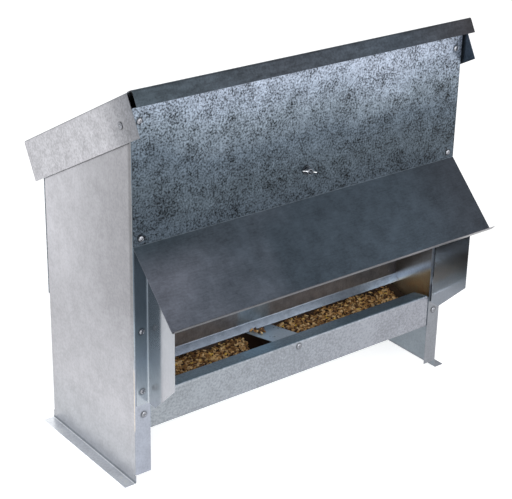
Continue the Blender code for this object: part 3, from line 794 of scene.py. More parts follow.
@dataclass
class Hood:
    """The visor and the two wings that shield the feeding opening."""

    visor_look: Zinc = Zinc(
        speckle=0.14, blotch=0.42, blotch_size=0.020, streak=0.22, streak_scale=(0.25, 1.4, 1.4), roughness=0.30
    )
    slope: float = radians(45.5)
    slope_length: float = 0.1097
    # painted reflection: the visor's dark tones, darker still at the right end and the top left
    dark_reflection: tuple[str, str] = ("374049", "595d67")
    purple_at: Span = (-0.02, -0.24)
    purple_wander: float = 0.3
    purple_size: float = 0.12
    right_end: str = "26262b"
    right_at: Span = (0.12, 0.25)
    right_share: float = 0.6
    top_left: str = "353e46"
    top_at: Span = (0.055, 0.0)
    left_at: Span = (-0.05, -0.2)
    # painted highlight: a light line where the visor folds under the front panel
    bend_highlight: str = "6f7a84"
    bend_highlight_at: Span = (0.0024, 0.0012)
    # painted highlight along the lip's edge, lighter to the right
    lip: tuple[str, str] = ("545459", "6e6d71")
    lip_at: Span = (-0.0010, -0.0006)
    lip_change: Span = (-0.1, 0.2)
    wing_look: Zinc = Zinc(speckle=0.05, blotch=0.10, streak=0.10, roughness=0.15, metallic=0.65, ripple_rise=0.0003)
    splay: float = radians(3.2)
    # painted shade: the flange darkens upward under the visor
    flange_stops: Stops = (
        (0.0, "a9b0b8"), (0.12, "9da6af"), (0.28, "8793a0"), (0.44, "6d7983"), (0.6, "5b6670"), (1.0, "57626c"),
    )
    flange_face: Span = (-0.0010, -0.0016)
    # painted reflections on the plate: light outside with a painted reflection near the flange, and on the inner
    # face light low down and shaded high up
    outside_stops: Stops = ((0.0, "b2b3b9"), (1.0, "9aa0a7"))
    mirror_stops: Stops = (
        (0.0, "c0c5cb"), (0.14, "a9b0b6"), (0.3, "89929a"), (0.5, "6b747d"), (1.0, "626c76"),
    )
    mirror_at: Span = (-0.032, -0.027)
    inside_stops: Stops = (
        (0.0, "c8ced4"), (0.12, "c6ccd2"), (0.22, "a6adb3"), (0.34, "6e7377"), (0.42, "505356"), (1.0, "4a4e52"),
    )
    # painted shadow in the slot between the flange and the plate
    corner: str = "14171b"
    corner_at: Span = (-0.0036, -0.0031)
    corner_rise: Span = (0.14, 0.15)
    half_sheet: float = 0.0004
    fold_depth: float = 0.003
    plate_face: Span = (-0.0002, 0.0002)

    def build(self) -> None:
        """Dress the visor and the wings."""
        dress("visor", self.visor_look.material("visor_zinc", self._visor_tone))
        for side in Side:
            name = f"wing_{side.label}"
            rivets = [node_centre(f"wing_rivet_{side.label}_{row}") for row in LEVELS]
            tone = partial(self._wing_tone, *node_box(name))
            dress(name, self.wing_look.material(name + "_zinc", tone, rivets))

    def _visor_tone(self, graph: Graph) -> Socket:
        """Colour the visor: dark tones painted as reflection, a little purple to the lower left, a painted highlight
        where it folds under the front panel and a light painted highlight on the lip.

        Args:
            graph: The finish's nodes.

        Returns:
            The colour.
        """
        back, top = node_box("visor")[1].y, node_box("front_panel")[0].z
        down = (back - graph.y) * sin(self.slope) + (top - graph.z) * cos(self.slope)
        wander = (graph.noise(self.purple_size, seed=4.0) - 0.5) * self.purple_wander
        # painted reflection: dark tones with a purple tint to the left, darker at the right end and the top left
        dark_reflection = graph.mix((graph.x + wander).step(*self.purple_at), *self.dark_reflection)
        dark_reflection = graph.mix(graph.x.step(*self.right_at) * self.right_share, dark_reflection, self.right_end)
        dark_reflection = graph.mix(down.step(*self.top_at) * graph.x.step(*self.left_at), dark_reflection, self.top_left)
        # painted highlights along the fold and the lip
        dark_reflection = graph.mix(down.step(*self.bend_highlight_at), dark_reflection, self.bend_highlight)
        lip = graph.mix(graph.x.step(*self.lip_change), *self.lip)
        return graph.mix(down.near(self.slope_length, self.lip_at), dark_reflection, lip)

    def _wing_tone(self, low: Vector, high: Vector, graph: Graph) -> Socket:
        """Colour a wing: on the flange painted light below and painted shade above under the visor, on the plate
        painted reflections, bright outside, with a painted shadow in the slot by the fold.

        Args:
            low: The wing's lowest corner.
            high: Its highest corner.
            graph: The finish's nodes.

        Returns:
            The colour.
        """
        # painted light, shade and reflections on the flange and on both faces of the plate
        stops = (self.flange_stops, self.outside_stops, self.mirror_stops, self.inside_stops)
        flange, outside, mirror, inside = (graph.ramp(graph.z, low.z, high.z, each) for each in stops)
        outside = graph.mix(graph.y.near(high.y, self.mirror_at), outside, mirror)
        # painted shadow in the slot by the fold
        corner = graph.y.near(high.y, self.corner_at) * graph.z.step(*self.corner_rise)
        inside = graph.mix(corner, inside, self.corner)
        middle = min(abs(low.x), abs(high.x)) + self.half_sheet
        out = abs(graph.x) - middle - (high.y - self.fold_depth - graph.y) * tan(self.splay)
        plate = graph.mix(out.step(*self.plate_face), inside, outside)
        return graph.mix(graph.y.near(high.y, self.flange_face), flange, plate)


@dataclass
class Trough:
    """The trough, its strap and the sliding regulator."""

    wall_look: Zinc = Zinc(speckle=0.34, speckle_size=0.0028, blotch=0.18, streak=0.06, roughness=0.32, metallic=0.6)
    wall_stops: Stops = ((0.0, "8d9399"), (0.5, "8f949c"), (1.0, "8a8c94"))
    wall_face: Span = (0.0005, 0.0012)
    inside_stops: Stops = ((0.0, "7694a8"), (1.0, "6a8395"))
    # painted highlight along the fold behind the front wall
    fold: str = "a4b0ba"
    fold_at: Span = (0.0028, 0.0014)
    fold_share: float = 0.7
    under: str = "a2a9af"
    under_at: Span = (0.0004, 0.0002)
    strap_look: Zinc = Zinc(speckle=0.10, blotch=0.14, streak=0.05, roughness=0.28, metallic=0.5)
    strap_code: str = "b0c4d4"
    regulator_look: Zinc = Zinc(
        speckle=0.15, blotch=0.40, blotch_size=0.012, streak=0.15, roughness=0.2, metallic=0.6, ripple_rise=0.0004
    )
    # painted reflections on the wall: bluish near the strap, brownish away from it
    reflection_tints: tuple[str, str] = ("93a0ac", "8b898c")
    reflection_from: float = -0.004
    reflection_at: Span = (0.020, 0.030)
    # painted reflection on the lip, lighter to the right
    lip_stops: Stops = ((0.0, "7c8697"), (1.0, "a3b0c0"))
    lip_ends: Span = (-0.2, 0.2)
    lip_at: Span = (0.0105, 0.0090)

    def build(self) -> None:
        """Dress the three sheets."""
        rivets = [node_centre(name) for name in ("strap_front_rivet", "leg_rivet_left", "leg_rivet_right")]
        dress("trough_pan", self.wall_look.material("trough_zinc", self._pan_tone, rivets))
        strap_tone = partial(Graph.plain, code=self.strap_code)
        foot = [node_centre("strap_foot_rivet")]
        dress("trough_strap", self.strap_look.material("strap_zinc", strap_tone, foot))
        dress("feed_regulator", self.regulator_look.material("regulator_zinc", self._regulator_tone))

    def _pan_tone(self, graph: Graph) -> Socket:
        """Colour the trough: a light front wall, a painted highlight along the fold and a blue grey inside.

        Args:
            graph: The finish's nodes.

        Returns:
            The colour.
        """
        low, _ = node_box("trough_pan")
        wall = graph.ramp(graph.x, *ALONG, self.wall_stops)
        inside = graph.ramp(graph.x, *ALONG, self.inside_stops)
        # painted highlight along the fold
        fold = graph.y.near(low.y, self.fold_at) * self.fold_share
        inside = graph.mix(fold, inside, self.fold)
        colour = graph.mix(graph.y.near(low.y, self.wall_face), wall, inside)
        return graph.mix(graph.z.near(low.z, self.under_at), colour, self.under)

    def _regulator_tone(self, graph: Graph) -> Socket:
        """Colour the regulator: a grey wall with painted reflections, bluish by the strap and brownish away from it,
        and a blue grey lip with a painted reflection that lightens to the right.

        Args:
            graph: The finish's nodes.

        Returns:
            The colour.
        """
        low, _ = node_box("feed_regulator")
        # painted reflections on the wall, bluish near the strap and brownish away from it
        wall = graph.mix(abs(graph.x - self.reflection_from).step(*self.reflection_at), *self.reflection_tints)
        # painted reflection on the lip
        lip = graph.ramp(graph.x, *self.lip_ends, self.lip_stops)
        return graph.mix(graph.z.near(low.z, self.lip_at), wall, lip)


@dataclass
class Lid:
    """The sloping lid with its skirts and flanges."""

    look: Zinc = Zinc(speckle=0.30, speckle_size=0.0026, blotch=0.26, blotch_size=0.014, streak=0.10, roughness=0.33)
    slope: float = radians(28.8)
    plate: str = "c3c7cc"
    skirt_stops: Stops = ((0.0, "797b81"), (0.35, "929398"), (0.7, "b2b2b7"), (1.0, "b6b6bb"))
    skirt_ends: Span = (-0.035, 0.07)
    skirt_face: Span = (-0.0016, -0.0006)
    # painted shade on the skirts' inner faces
    inner: str = "4c5660"
    inner_face: Span = (-0.0004, -0.0006)
    drop: float = 0.0304
    drop_at: Span = (-0.0006, -0.0010)
    # painted reflection: the front flange is painted dark, darker to the right
    flange_stops: Stops = ((0.0, "3f484f"), (0.4, "393e45"), (0.75, "353c44"), (1.0, "2f2f33"))
    flange_smear: Span = (0.12, 1.6)
    smear_size: float = 0.009
    smear_scale: Triple = (0.5, 1.5, 1.5)
    front_reach: float = 0.0446
    front_face: Span = (0.0016, 0.0009)

    def build(self) -> None:
        """Dress the lid."""
        rivets = [node_centre(f"lid_pivot_rivet_{side.label}") for side in Side]
        tone = partial(self._tone, rivets[0], node_box("lid")[1].x)
        dress("lid", self.look.material("lid_zinc", tone, rivets))

    def _tone(self, pivot: Vector, reach: float, graph: Graph) -> Socket:
        """Colour the lid: light skirts and plate, a front flange painted dark as reflection and inner faces painted
        dark as shade.

        Args:
            pivot: A point on the axis that the lid turns on.
            reach: How far the skirts stand from the middle.
            graph: The finish's nodes.

        Returns:
            The colour.
        """
        back, up = graph.y - pivot.y, graph.z - pivot.z
        along = back * cos(self.slope) - up * sin(self.slope)
        above = back * sin(self.slope) + up * cos(self.slope)
        out = abs(graph.x)
        skirt = graph.ramp(along, *self.skirt_ends, self.skirt_stops)
        colour = graph.mix(out.near(reach, self.skirt_face), self.plate, skirt)
        # painted shade on the inner faces
        inner = out.near(reach, self.inner_face) * above.near(self.drop, self.drop_at)
        colour = graph.mix(inner, colour, self.inner)
        smear = graph.noise(self.smear_size, 3.0, graph.stretched(self.smear_scale), seed=6.0)
        # painted reflection on the front flange
        flange = graph.ramp(graph.x, *ALONG, self.flange_stops)
        flange = graph.scaled(flange, self.flange_smear[0] + self.flange_smear[1] * smear)
        return graph.mix(along.near(-self.front_reach, self.front_face), colour, flange)


@dataclass
class Rivets:
    """Every blind rivet, with its domed head and the end of its mandrel.

    An outline gives points from the axis out and down, as shares of its own radius and height. Only the
    mandrel's heights are in metres.
    """

    look: Bright = Bright()
    steps: int = 24
    head: float = 0.0034
    dome: float = 0.0011
    shank: float = 0.0016
    pivot_dome: float = 0.0016
    pivot_shank: float = 0.0021
    foot_length: float = 0.0043
    foot_slope: float = radians(42)
    mandrel: float = 0.30
    mandrel_outline: Outline = ((0.0, -0.00035), (0.8, -0.00042), (1.0, -0.0007), (1.12, -0.0007))
    arc: Span = (1.3, 0.96)
    arc_steps: int = 5
    rim_outline: Outline = ((1.0, 0.80), (1.0, 0.97), (0.96, 1.0))
    tail_outline: Outline = ((1.0, 0.72), (1.42, 0.76), (1.42, 0.88), (1.0, 1.0), (0.0, 1.0))

    def build(self) -> None:
        """Build each rivet in the place of its solid."""
        material = self.look.material("rivet_bright")
        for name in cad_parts:
            if "rivet" in name:
                self._rivet(name, material)

    def _rivet(self, name: str, material: Material) -> None:
        """Build one rivet inside its solid's box.

        Args:
            name: The solid's node.
            material: The rivets' finish.
        """
        low, high = node_box(name)
        size, outward = high - low, self._outward(name)
        head, dome, shank, length = self.head, self.dome, self.shank, size.y
        if name.startswith("lid_pivot"):
            head, dome, shank, length = size.z / 2, self.pivot_dome, self.pivot_shank, size.x
        elif name == STRAP_FOOT_RIVET:
            length = self.foot_length
        face = (low + high) / 2 + outward * (length / 2)
        profile = self._profile(head, dome, shank, length)
        add_turned(name, profile, self.steps, facing(outward, face), material)

    def _outward(self, name: str) -> Vector:
        """Find the way that a rivet's head faces.

        Args:
            name: The rivet's node.

        Returns:
            The direction.
        """
        if name.startswith("lid_pivot"):
            return Vector((1 if name.endswith("right") else -1, 0, 0))
        if name.startswith("back"):
            return -FORWARD
        if name == STRAP_FOOT_RIVET:
            return Vector((0, -sin(self.foot_slope), cos(self.foot_slope)))
        return FORWARD

    def _profile(self, head: float, dome: float, shank: float, length: float) -> list[Span]:
        """Draw half of a rivet's section, from the mandrel's end out over the dome and down to the tail.

        Args:
            head: The head's radius.
            dome: The head's height.
            shank: The shank's radius.
            length: The whole length.

        Returns:
            Points of (radius, height).
        """
        mandrel = head * self.mandrel
        sphere = (head * head + dome * dome) / (2 * dome)
        points = [(mandrel * out, depth) for out, depth in self.mandrel_outline]
        start, end = mandrel * self.arc[0], head * self.arc[1]
        for step in range(self.arc_steps + 1):
            out = start + (end - start) * step / self.arc_steps
            points.append((out, sqrt(sphere * sphere - out * out) - sphere))
        points += [(head * out, -dome * depth) for out, depth in self.rim_outline]
        points.append((shank, -dome))
        return points + [(shank * out, -length * depth) for out, depth in self.tail_outline]


@dataclass
class Clamp:
    """The bolt, washer and wing nut that hold the regulator."""

    # painted shade: the bolt and washer are painted dark grey
    look: Bright = Bright(code="3e4248", roughness=0.3)
    bolt: float = 0.0025
    bolt_steps: int = 28
    chamfer: float = 0.0006
    pitch: float = 0.0008
    crest: float = 0.15
    root: Span = (0.87, 0.5)
    thread_end: float = 0.001
    bolt_head: float = 0.0022
    head_outline: Outline = ((0.0050, 1.0), (0.0050, 0.55), (0.0036, 0.1), (0.0, 0.0))
    washer_bore: float = 0.0028
    washer_soft: float = 0.00015
    washer_steps: int = 36
    # painted highlight: the nut's ears are painted near white, round a greyer hub
    ear_highlight_look: Bright = Bright(code="f2f4f7", hub="a4a8ae", hub_radius=0.0042, roughness=0.3)
    nut_turn: float = radians(17)
    hub: Triple = (0.0051, 0.0043, 0.0062)
    hub_sides: int = 8
    hub_rim: float = 0.0008
    slack: float = 0.0006
    smoothing: int = 2
    ear: tuple[tuple[float, float, float, float], ...] = (
        (0.0062, 0.0031, 0.0044, 0.0024),
        (0.0080, 0.0034, 0.0044, 0.0022),
        (0.0098, 0.0040, 0.0040, 0.0022),
        (0.0115, 0.0047, 0.0030, 0.0018),
    )

    def build(self) -> None:
        """Build the three pieces of the clamp."""
        material = self.look.material("clamp_bright")
        self._bolt(material)
        self._washer(material)
        self._nut(self.ear_highlight_look.material("wing_nut_bright", node_centre("regulator_bolt")))

    def _bolt(self, material: Material) -> None:
        """Build the bolt, with a round head inside the hopper and a threaded shank.

        Args:
            material: Its finish.
        """
        name = "regulator_bolt"
        low, high = node_box(name)
        length, depth = high.y - low.y, self.chamfer
        points = [(0.0, 0.0), (self.bolt - self.chamfer, 0.0), (self.bolt, -self.chamfer)]
        while depth + self.pitch < length - self.bolt_head - self.thread_end:
            points.append((self.bolt, -depth - self.pitch * self.crest))
            points.append((self.bolt * self.root[0], -depth - self.pitch * self.root[1]))
            depth += self.pitch
            points.append((self.bolt, -depth))
        points.append((self.bolt, self.bolt_head - length))
        points += [(radius, self.bolt_head * rise - length) for radius, rise in self.head_outline]
        placed = facing(FORWARD, mid_box(low, high, low.y))
        add_turned(name, points, self.bolt_steps, placed, material)

    def _washer(self, material: Material) -> None:
        """Build the washer, a flat ring with rounded rims.

        Args:
            material: Its finish.
        """
        name = "regulator_washer"
        low, high = node_box(name)
        outer, thick = (high.x - low.x) / 2, high.y - low.y
        bore, soft = self.washer_bore, self.washer_soft
        points = [(bore, -soft), (bore + soft, 0.0), (outer - soft, 0.0), (outer, -soft)]
        points += [(radius, -thick - depth) for radius, depth in reversed(points)]
        placed = facing(FORWARD, mid_box(low, high, low.y))
        add_turned(name, points, self.washer_steps, placed, material)

    def _nut(self, material: Material) -> None:
        """Build the wing nut, a forged hub with two rising ears, smoothed from a coarse cage.

        Args:
            material: Its finish.
        """
        low, high = node_box("wing_nut")
        bm = bmesh.new()
        foot, top, height = self.hub
        made = bmesh.ops.create_cone(
            bm, cap_ends=True, segments=self.hub_sides, radius1=foot, radius2=top, depth=height
        )
        bmesh.ops.rotate(bm, matrix=Matrix.Rotation(pi / self.hub_sides, 3, "Z"), verts=made["verts"])
        bmesh.ops.translate(bm, vec=(0, 0, height / 2), verts=made["verts"])
        for side in Side:
            self._draw_ear(bm, side.value)
        self._open_bore(bm)
        bmesh.ops.recalc_face_normals(bm, faces=bm.faces)
        placed = facing(FORWARD, mid_box(low, high, high.y), -self.nut_turn)
        bmesh.ops.transform(bm, matrix=placed, verts=bm.verts)
        smooth(bm)
        piece = add_piece("wing_nut_forged", bm, material, Body.WING_NUT)
        forged = piece.modifiers.new("Forged", "SUBSURF")
        forged.levels = forged.render_levels = self.smoothing
        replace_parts(piece, "wing_nut")

    def _draw_ear(self, bm: BMesh, sign: int) -> None:
        """Draw one ear out of the hub's side.

        Args:
            bm: The nut's cage.
            sign: The sign of the ear's X.
        """
        sides = [face for face in bm.faces if len(face.verts) == 4]
        face = max(sides, key=lambda side: side.calc_center_median().x * sign)
        for x, z, tall, thick in self.ear:
            face = bmesh.ops.extrude_discrete_faces(bm, faces=[face])["faces"][0]
            centre = face.calc_center_median()
            old_tall = max(v.co.z for v in face.verts) - min(v.co.z for v in face.verts)
            old_thick = max(v.co.y for v in face.verts) - min(v.co.y for v in face.verts)
            bmesh.ops.translate(bm, vec=-centre, verts=face.verts)
            bmesh.ops.scale(bm, vec=(0, thick / old_thick, tall / old_tall), verts=face.verts)
            bmesh.ops.translate(bm, vec=(x * sign, 0, z), verts=face.verts)

    def _open_bore(self, bm: BMesh) -> None:
        """Open the hub from end to end for the bolt.

        Args:
            bm: The nut's cage.
        """
        caps = [face for face in bm.faces if len(face.verts) == self.hub_sides]
        for cap in caps:
            bmesh.ops.inset_region(bm, faces=[cap], thickness=self.hub_rim, use_even_offset=True)
        for cap in caps:
            centre = cap.calc_center_median()
            share = (self.bolt + self.slack) / max((v.co - centre).length for v in cap.verts)
            bmesh.ops.translate(bm, vec=-centre, verts=cap.verts)
            bmesh.ops.scale(bm, vec=(share, share, 1), verts=cap.verts)
            bmesh.ops.translate(bm, vec=centre, verts=cap.verts)
        rims = [edge for cap in caps for edge in cap.edges]
        bmesh.ops.delete(bm, geom=caps, context="FACES_ONLY")
        bmesh.ops.bridge_loops(bm, edges=rims)


class Kernel(Enum):
    """The kinds of grain in the feed, each with its half sizes and the range of its tone."""

    WHEAT = ((0.0031, 0.0015, 0.0014), (0.20, 0.93))
    BARLEY = ((0.0038, 0.0015, 0.0012), (0.12, 0.8))
    MAIZE = ((0.0026, 0.0022, 0.0016), (0.86, 1.0))
    SEED = ((0.0022, 0.0016, 0.0014), (0.0, 0.3))


@dataclass(frozen=True)
class Hollow:
    """A place where the feed has been eaten out, to the right of a shore that runs askew.

    The shore is the X where it begins at the Y of the start, the skew is how far that X moves per Y, and
    the bank is how wide the slope down to the full depth is.
    """

    shore: float
    start: float
    skew: float
    depth: float
    bank: float

    def fall(self, x: float, y: float) -> float:
        """How deep the hollow is at a place."""
        shore = self.shore + self.skew * (y - self.start)
        return self.depth * min(1.0, max(0.0, (x - shore) / self.bank))


@dataclass
class Feed:
    """The loose grain in the trough, and the few grains left on the strap.

    Each of the two waves has its rise and how fast it runs along X and Y. A place for a grain is left out
    where the feed has been eaten away.
    """

    seed: int = 7
    look: Grains = Grains()
    shares: dict[Kernel, float] = field(
        default_factory=lambda: {Kernel.WHEAT: 0.5, Kernel.BARLEY: 0.2, Kernel.MAIZE: 0.12, Kernel.SEED: 0.18}
    )
    floor_flat: float = 0.072
    thinnest: float = 0.0034
    below_rim: float = 0.0012
    sunk: float = 0.0014
    waves: tuple[tuple[float, float, float], ...] = ((0.0012, 47, 61), (0.0009, 113, 80))
    wave_start: float = 1.3
    at_strap: Hollow = Hollow(shore=-0.0300, start=0.0, skew=0.57, depth=0.021, bank=0.008)
    at_end: Hollow = Hollow(shore=0.196, start=-0.0485, skew=0.55, depth=0.015, bank=0.018)
    strap_middle: float = -0.006
    shore_end: float = 0.004
    bed_segments: tuple[int, int] = (120, 24)
    bed_share: float = 0.96
    bed_sunk: float = 0.003
    # painted shade: the bed takes the darkest grain tone
    bed_shade_tone: float = 0.02
    layers: int = 2
    layer_drop: float = 0.0016
    pitch: float = 0.0043
    jitter: float = 0.45
    rise: Span = (-0.0008, 0.0006)
    end_gap: float = 0.003
    strap_lap: float = 0.012
    back_gap: float = 0.006
    wall_gap: float = 0.004
    shallow: float = 0.002
    deep: float = 0.014
    cover: float = 0.004
    heap: int = 18
    heap_x: Span = (-0.0080, 0.0042)
    heap_y: Span = (-0.0006, 0.0040)
    heap_rise: Span = (0.0011, 0.0028)
    segments: tuple[int, int] = (6, 5)
    maize_taper: Span = (1.15, 0.35)
    maize_swell: Span = (0.85, 0.15)
    belly_from: float = -0.5
    belly: float = 0.75
    tip: float = 0.35
    growth: Span = (0.85, 1.12)

    def __post_init__(self) -> None:
        """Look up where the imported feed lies, and seed the source of chance."""
        self.low, self.high = node_box("feed_grain")
        self.rng = random.Random(self.seed)

    def build(self) -> None:
        """Scatter the grains over a bed and drop a few on the strap."""
        material = self.look.material("feed_grains")
        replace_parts(self._bed(material), "feed_grain")
        strap_low, strap_high = node_box("trough_strap")
        spans = {
            "feed_left": (self.low.x + self.end_gap, strap_low.x + self.strap_lap),
            "feed_right": (strap_high.x - self.strap_lap, self.high.x - self.end_gap),
        }
        for name, span in spans.items():
            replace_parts(self._pile(name, self._scatter(*span), material), "feed_grain")
        self._pile("feed_on_strap", self._strap_heap(strap_low.y, strap_high.z), material)

    def height(self, x: float, y: float) -> float:
        """Find how high the feed lies at a place.

        Args:
            x: The place along the trough.
            y: The place across it.

        Returns:
            The height of the feed's surface.
        """
        (swell, swell_x, swell_y), (ripple, ripple_x, ripple_y) = self.waves
        wave = swell * sin(swell_x * x + self.wave_start) * cos(swell_y * y)
        wave += ripple * sin(ripple_x * x + ripple_y * y)
        top = self.high.z - (y - self.low.y) * sin(TROUGH_FALL) - self.below_rim
        return max(top + wave - self.sunk - self.hollow(x, y), self.floor(y) + self.thinnest)

    def floor(self, y: float) -> float:
        """How high the feed's underside lies at a place across the trough: flat, then rising to the back."""
        return self.low.z + max(0.0, (y - (self.low.y + self.floor_flat)) * TROUGH_BACK_RISE)

    def hollow(self, x: float, y: float) -> float:
        """How deep the feed has been eaten out, beside the strap's left edge and in the right end."""
        beside_strap = x < self.strap_middle
        return self.at_strap.fall(x, min(y, self.shore_end)) if beside_strap else self.at_end.fall(x, y)

    def _bed(self, material: Material) -> Piece:
        """Build the mass of feed under the loose grains, painted dark as the shade between and beneath them.

        Args:
            material: The feed's finish.

        Returns:
            The piece.
        """
        bm = bmesh.new()
        tone = bm.verts.layers.float.new(KERNEL_TONE)
        columns, rows = self.bed_segments
        bmesh.ops.create_grid(bm, x_segments=columns, y_segments=rows, size=0.5)
        size = self.high - self.low
        middle = (self.low.y + self.high.y) / 2 - size.y * (1 - self.bed_share) / 2
        bmesh.ops.scale(bm, vec=(size.x, size.y * self.bed_share, 1), verts=bm.verts)
        bmesh.ops.translate(bm, vec=(0, middle, 0), verts=bm.verts)
        for vert in bm.verts:
            vert.co.z = self.height(vert.co.x, vert.co.y) - self.bed_sunk
        rim = [edge for edge in bm.edges if edge.is_boundary]
        skirt = bmesh.ops.extrude_edge_only(bm, edges=rim)["geom"]
        for vert in (item for item in skirt if isinstance(item, bmesh.types.BMVert)):
            vert.co.z = self.floor(vert.co.y)
        bmesh.ops.contextual_create(bm, geom=[item for item in skirt if isinstance(item, bmesh.types.BMEdge)])
        bmesh.ops.recalc_face_normals(bm, faces=bm.faces)
        # painted shade: the bed is coloured with the darkest grain tone
        for vert in bm.verts:
            vert[tone] = self.bed_shade_tone
        smooth(bm)
        return add_piece("feed_bed", bm, material, Body.FRAME)

    def _scatter(self, start: float, end: float) -> list[Vector]:
        """Choose places for the grains of one window, in layers.

        Args:
            start: Where the window starts along the trough.
            end: Where it ends.

        Returns:
            The middles of the grains.
        """
        places = []
        for layer in range(self.layers):
            y = self.low.y + self.end_gap
            while y < self.high.y - self.back_gap:
                x = start
                while x < end:
                    at_x = x + self.rng.uniform(-1, 1) * self.pitch * self.jitter
                    at_y = y + self.rng.uniform(-1, 1) * self.pitch * self.jitter
                    at_x = min(max(at_x, self.low.x + self.wall_gap), self.high.x - self.wall_gap)
                    rise = self.rng.uniform(*self.rise) - layer * self.layer_drop
                    depth, surface = self.hollow(at_x, at_y), self.height(at_x, at_y)
                    if depth < self.shallow or (depth < self.deep and surface > self.floor(at_y) + self.cover):
                        places.append(Vector((at_x, at_y, surface + rise)))
                    x += self.pitch
                y += self.pitch
        return places

    def _strap_heap(self, front: float, top: float) -> list[Vector]:
        """Choose places for the few grains that lie on the strap, at its rear left.

        Args:
            front: The Y of the strap's front end.
            top: The height of the strap there.

        Returns:
            The middles of the grains.
        """
        places = []
        for _ in range(self.heap):
            x, y = self.rng.gauss(*self.heap_x), self.rng.gauss(*self.heap_y)
            places.append(Vector((x, y, top - (y - front) * sin(TROUGH_FALL) + self.rng.uniform(*self.heap_rise))))
        return places

    def _pile(self, name: str, places: Sequence[Vector], material: Material) -> Piece:
        """Put a grain at each place and join them in one piece.

        Args:
            name: The piece's name.
            places: The middles of the grains.
            material: Their finish.

        Returns:
            The piece.
        """
        kinds, weights = list(self.shares), list(self.shares.values())
        templates = {kind: self._template(kind) for kind in kinds}
        whole = bmesh.new()
        whole.verts.layers.float.new(KERNEL_TONE)
        for place in places:
            kind = self.rng.choices(kinds, weights)[0]
            _, (darkest, lightest) = kind.value
            grain = templates[kind].copy()
            grain.transform(self._lie(place))
            tone = grain.attributes[KERNEL_TONE]
            tone.data.foreach_set("value", [self.rng.uniform(darkest, lightest)] * len(grain.vertices))
            whole.from_mesh(grain)
            bpy.data.meshes.remove(grain)
        for template in templates.values():
            bpy.data.meshes.remove(template)
        return add_piece(name, whole, material, Body.FRAME)

    def _template(self, kind: Kernel) -> bpy.types.Mesh:
        """Make one grain of a kind, lying along X: pointed and creased, or flat and blunt for maize.

        Args:
            kind: The kind of grain.

        Returns:
            Its mesh.
        """
        sizes, _ = kind.value
        around, rings = self.segments
        bm = bmesh.new()
        bm.verts.layers.float.new(KERNEL_TONE)
        along = Matrix.Rotation(pi / 2, 4, "Y")
        bmesh.ops.create_uvsphere(bm, u_segments=around, v_segments=rings, radius=1.0, matrix=along)
        for vert in bm.verts:
            if kind is Kernel.MAIZE:
                vert.co.y *= self.maize_taper[0] - self.maize_taper[1] * vert.co.x
                vert.co.z *= self.maize_swell[0] + self.maize_swell[1] * vert.co.x
            elif vert.co.z < self.belly_from:
                vert.co.z *= self.belly
        bmesh.ops.scale(bm, vec=sizes, verts=bm.verts)
        smooth(bm)
        return mesh_of("grain", bm)

    def _lie(self, place: Vector) -> Matrix:
        """Choose how one grain lies: turned at random, rather flat, and a little larger or smaller.

        Args:
            place: Its middle.

        Returns:
            Its placing.
        """
        spun = Matrix.Rotation(self.rng.uniform(0, 2 * pi), 4, "Z")
        tipped = Matrix.Rotation(self.rng.gauss(0, self.tip), 4, "Y")
        rolled = Matrix.Rotation(self.rng.uniform(0, 2 * pi), 4, "X")
        grown = Matrix.Scale(self.rng.uniform(*self.growth), 4)
        return Matrix.Translation(place) @ spun @ tipped @ rolled @ grown


@dataclass(frozen=True)
class Lamp:
    """A square soft lamp that faces the feeder."""

    name: str
    at: Triple
    size: float
    power: float


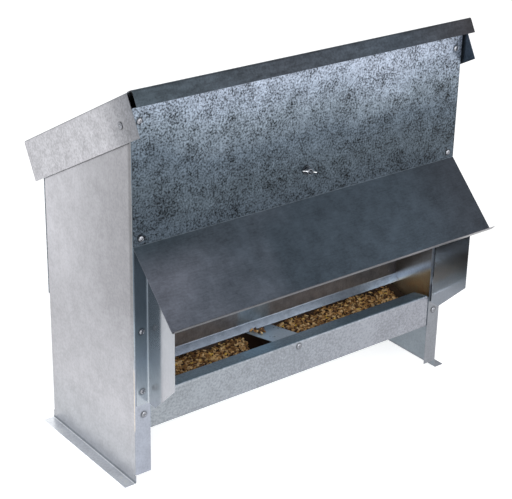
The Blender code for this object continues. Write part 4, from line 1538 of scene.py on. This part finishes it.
@dataclass
class Studio:
    """The pale floor, the soft lamps, the white surroundings and the camera."""

    floor_half: float = 8.0
    floor_pale: float = 0.8
    floor_glow: float = 0.70
    ambient: float = 0.45
    lamps: tuple[Lamp, ...] = (
        Lamp("key", (-1.9, -1.5, 1.5), 1.8, 42.0),
        Lamp("fill", (1.9, -1.6, 1.1), 1.8, 12.0),
        Lamp("low", (0.3, -2.3, 0.75), 1.4, 14.0),
    )
    lit_point: Triple = (0.0, 0.0, 0.25)
    camera_at: Triple = (-1.0742, -1.35508, 1.0174)
    camera_right: Triple = (0.79324, -0.60857, 0.02013)
    camera_up: Triple = (0.24052, 0.34353, 0.90782)
    lens: float = 104.3
    sensor: float = 36.0

    def build(self) -> None:
        """Build the surroundings."""
        self._floor()
        self._world()
        for lamp in self.lamps:
            self._lamp(lamp)
        self._camera()
        bpy.context.scene.view_settings.view_transform = "Standard"

    def _floor(self) -> None:
        """Build a wide pale floor that shows white and keeps the shadow."""
        bm = bmesh.new()
        bmesh.ops.create_grid(bm, x_segments=1, y_segments=1, size=self.floor_half)
        mesh = mesh_of("floor", bm)
        material = bpy.data.materials.new("floor_pale")
        nodes = Nodes(material)
        pale = nodes.node("ShaderNodeBsdfDiffuse", {}, {0: (*[self.floor_pale] * 3, 1.0)}).outputs[0]
        glow = nodes.node("ShaderNodeEmission", {}, {0: WHITE, 1: self.floor_glow}).outputs[0]
        lit = nodes.node("ShaderNodeAddShader", {}, {0: pale, 1: glow}).outputs[0]
        mixed = nodes.node("ShaderNodeMixShader", {}, {0: nodes.seen(), 1: pale, 2: lit}).outputs[0]
        nodes.node("ShaderNodeOutputMaterial", {}, {0: mixed})
        mesh.materials.append(material)
        put_in_scene("floor", mesh)

    def _world(self) -> None:
        """Make the surroundings white where they are seen or mirrored, and softer as light."""
        world = bpy.data.worlds.new("studio")
        bpy.context.scene.world = world
        nodes = Nodes(world)
        soft = nodes.node("ShaderNodeBackground", {}, {0: WHITE, 1: self.ambient}).outputs[0]
        white = nodes.node("ShaderNodeBackground", {}, {0: WHITE, 1: 1.0}).outputs[0]
        mixed = nodes.node("ShaderNodeMixShader", {}, {0: nodes.seen(), 1: soft, 2: white}).outputs[0]
        nodes.node("ShaderNodeOutputWorld", {}, {0: mixed})

    def _lamp(self, lamp: Lamp) -> None:
        """Hang one lamp.

        Args:
            lamp: Where it hangs, how large and how strong it is.
        """
        light = bpy.data.lights.new(lamp.name, "AREA")
        light.shape = "SQUARE"
        light.size = lamp.size
        light.energy = lamp.power
        holder = put_in_scene(lamp.name, light)
        holder.location = lamp.at
        holder.rotation_euler = (Vector(lamp.at) - Vector(self.lit_point)).to_track_quat("Z", "Y").to_euler()

    def _camera(self) -> None:
        """Put the camera at the photographer's place."""
        camera = bpy.data.cameras.new("camera")
        camera.lens = self.lens
        camera.sensor_width = self.sensor
        camera.sensor_fit = "HORIZONTAL"
        holder = put_in_scene("camera", camera)
        right, up = Vector(self.camera_right), Vector(self.camera_up)
        turn = Matrix((right, up, right.cross(up))).transposed().to_4x4()
        holder.matrix_world = Matrix.Translation(self.camera_at) @ turn
        bpy.context.scene.camera = holder


def main() -> None:
    """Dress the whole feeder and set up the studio."""
    logging.basicConfig(level=logging.INFO, format="%(message)s")
    for assembly in (SidePanels(), Panels(), Hood(), Trough(), Lid(), Rivets(), Clamp(), Feed(), Studio()):
        LOG.info("%s", type(assembly).__name__)
        assembly.build()


if __name__ == "__main__":
    main()
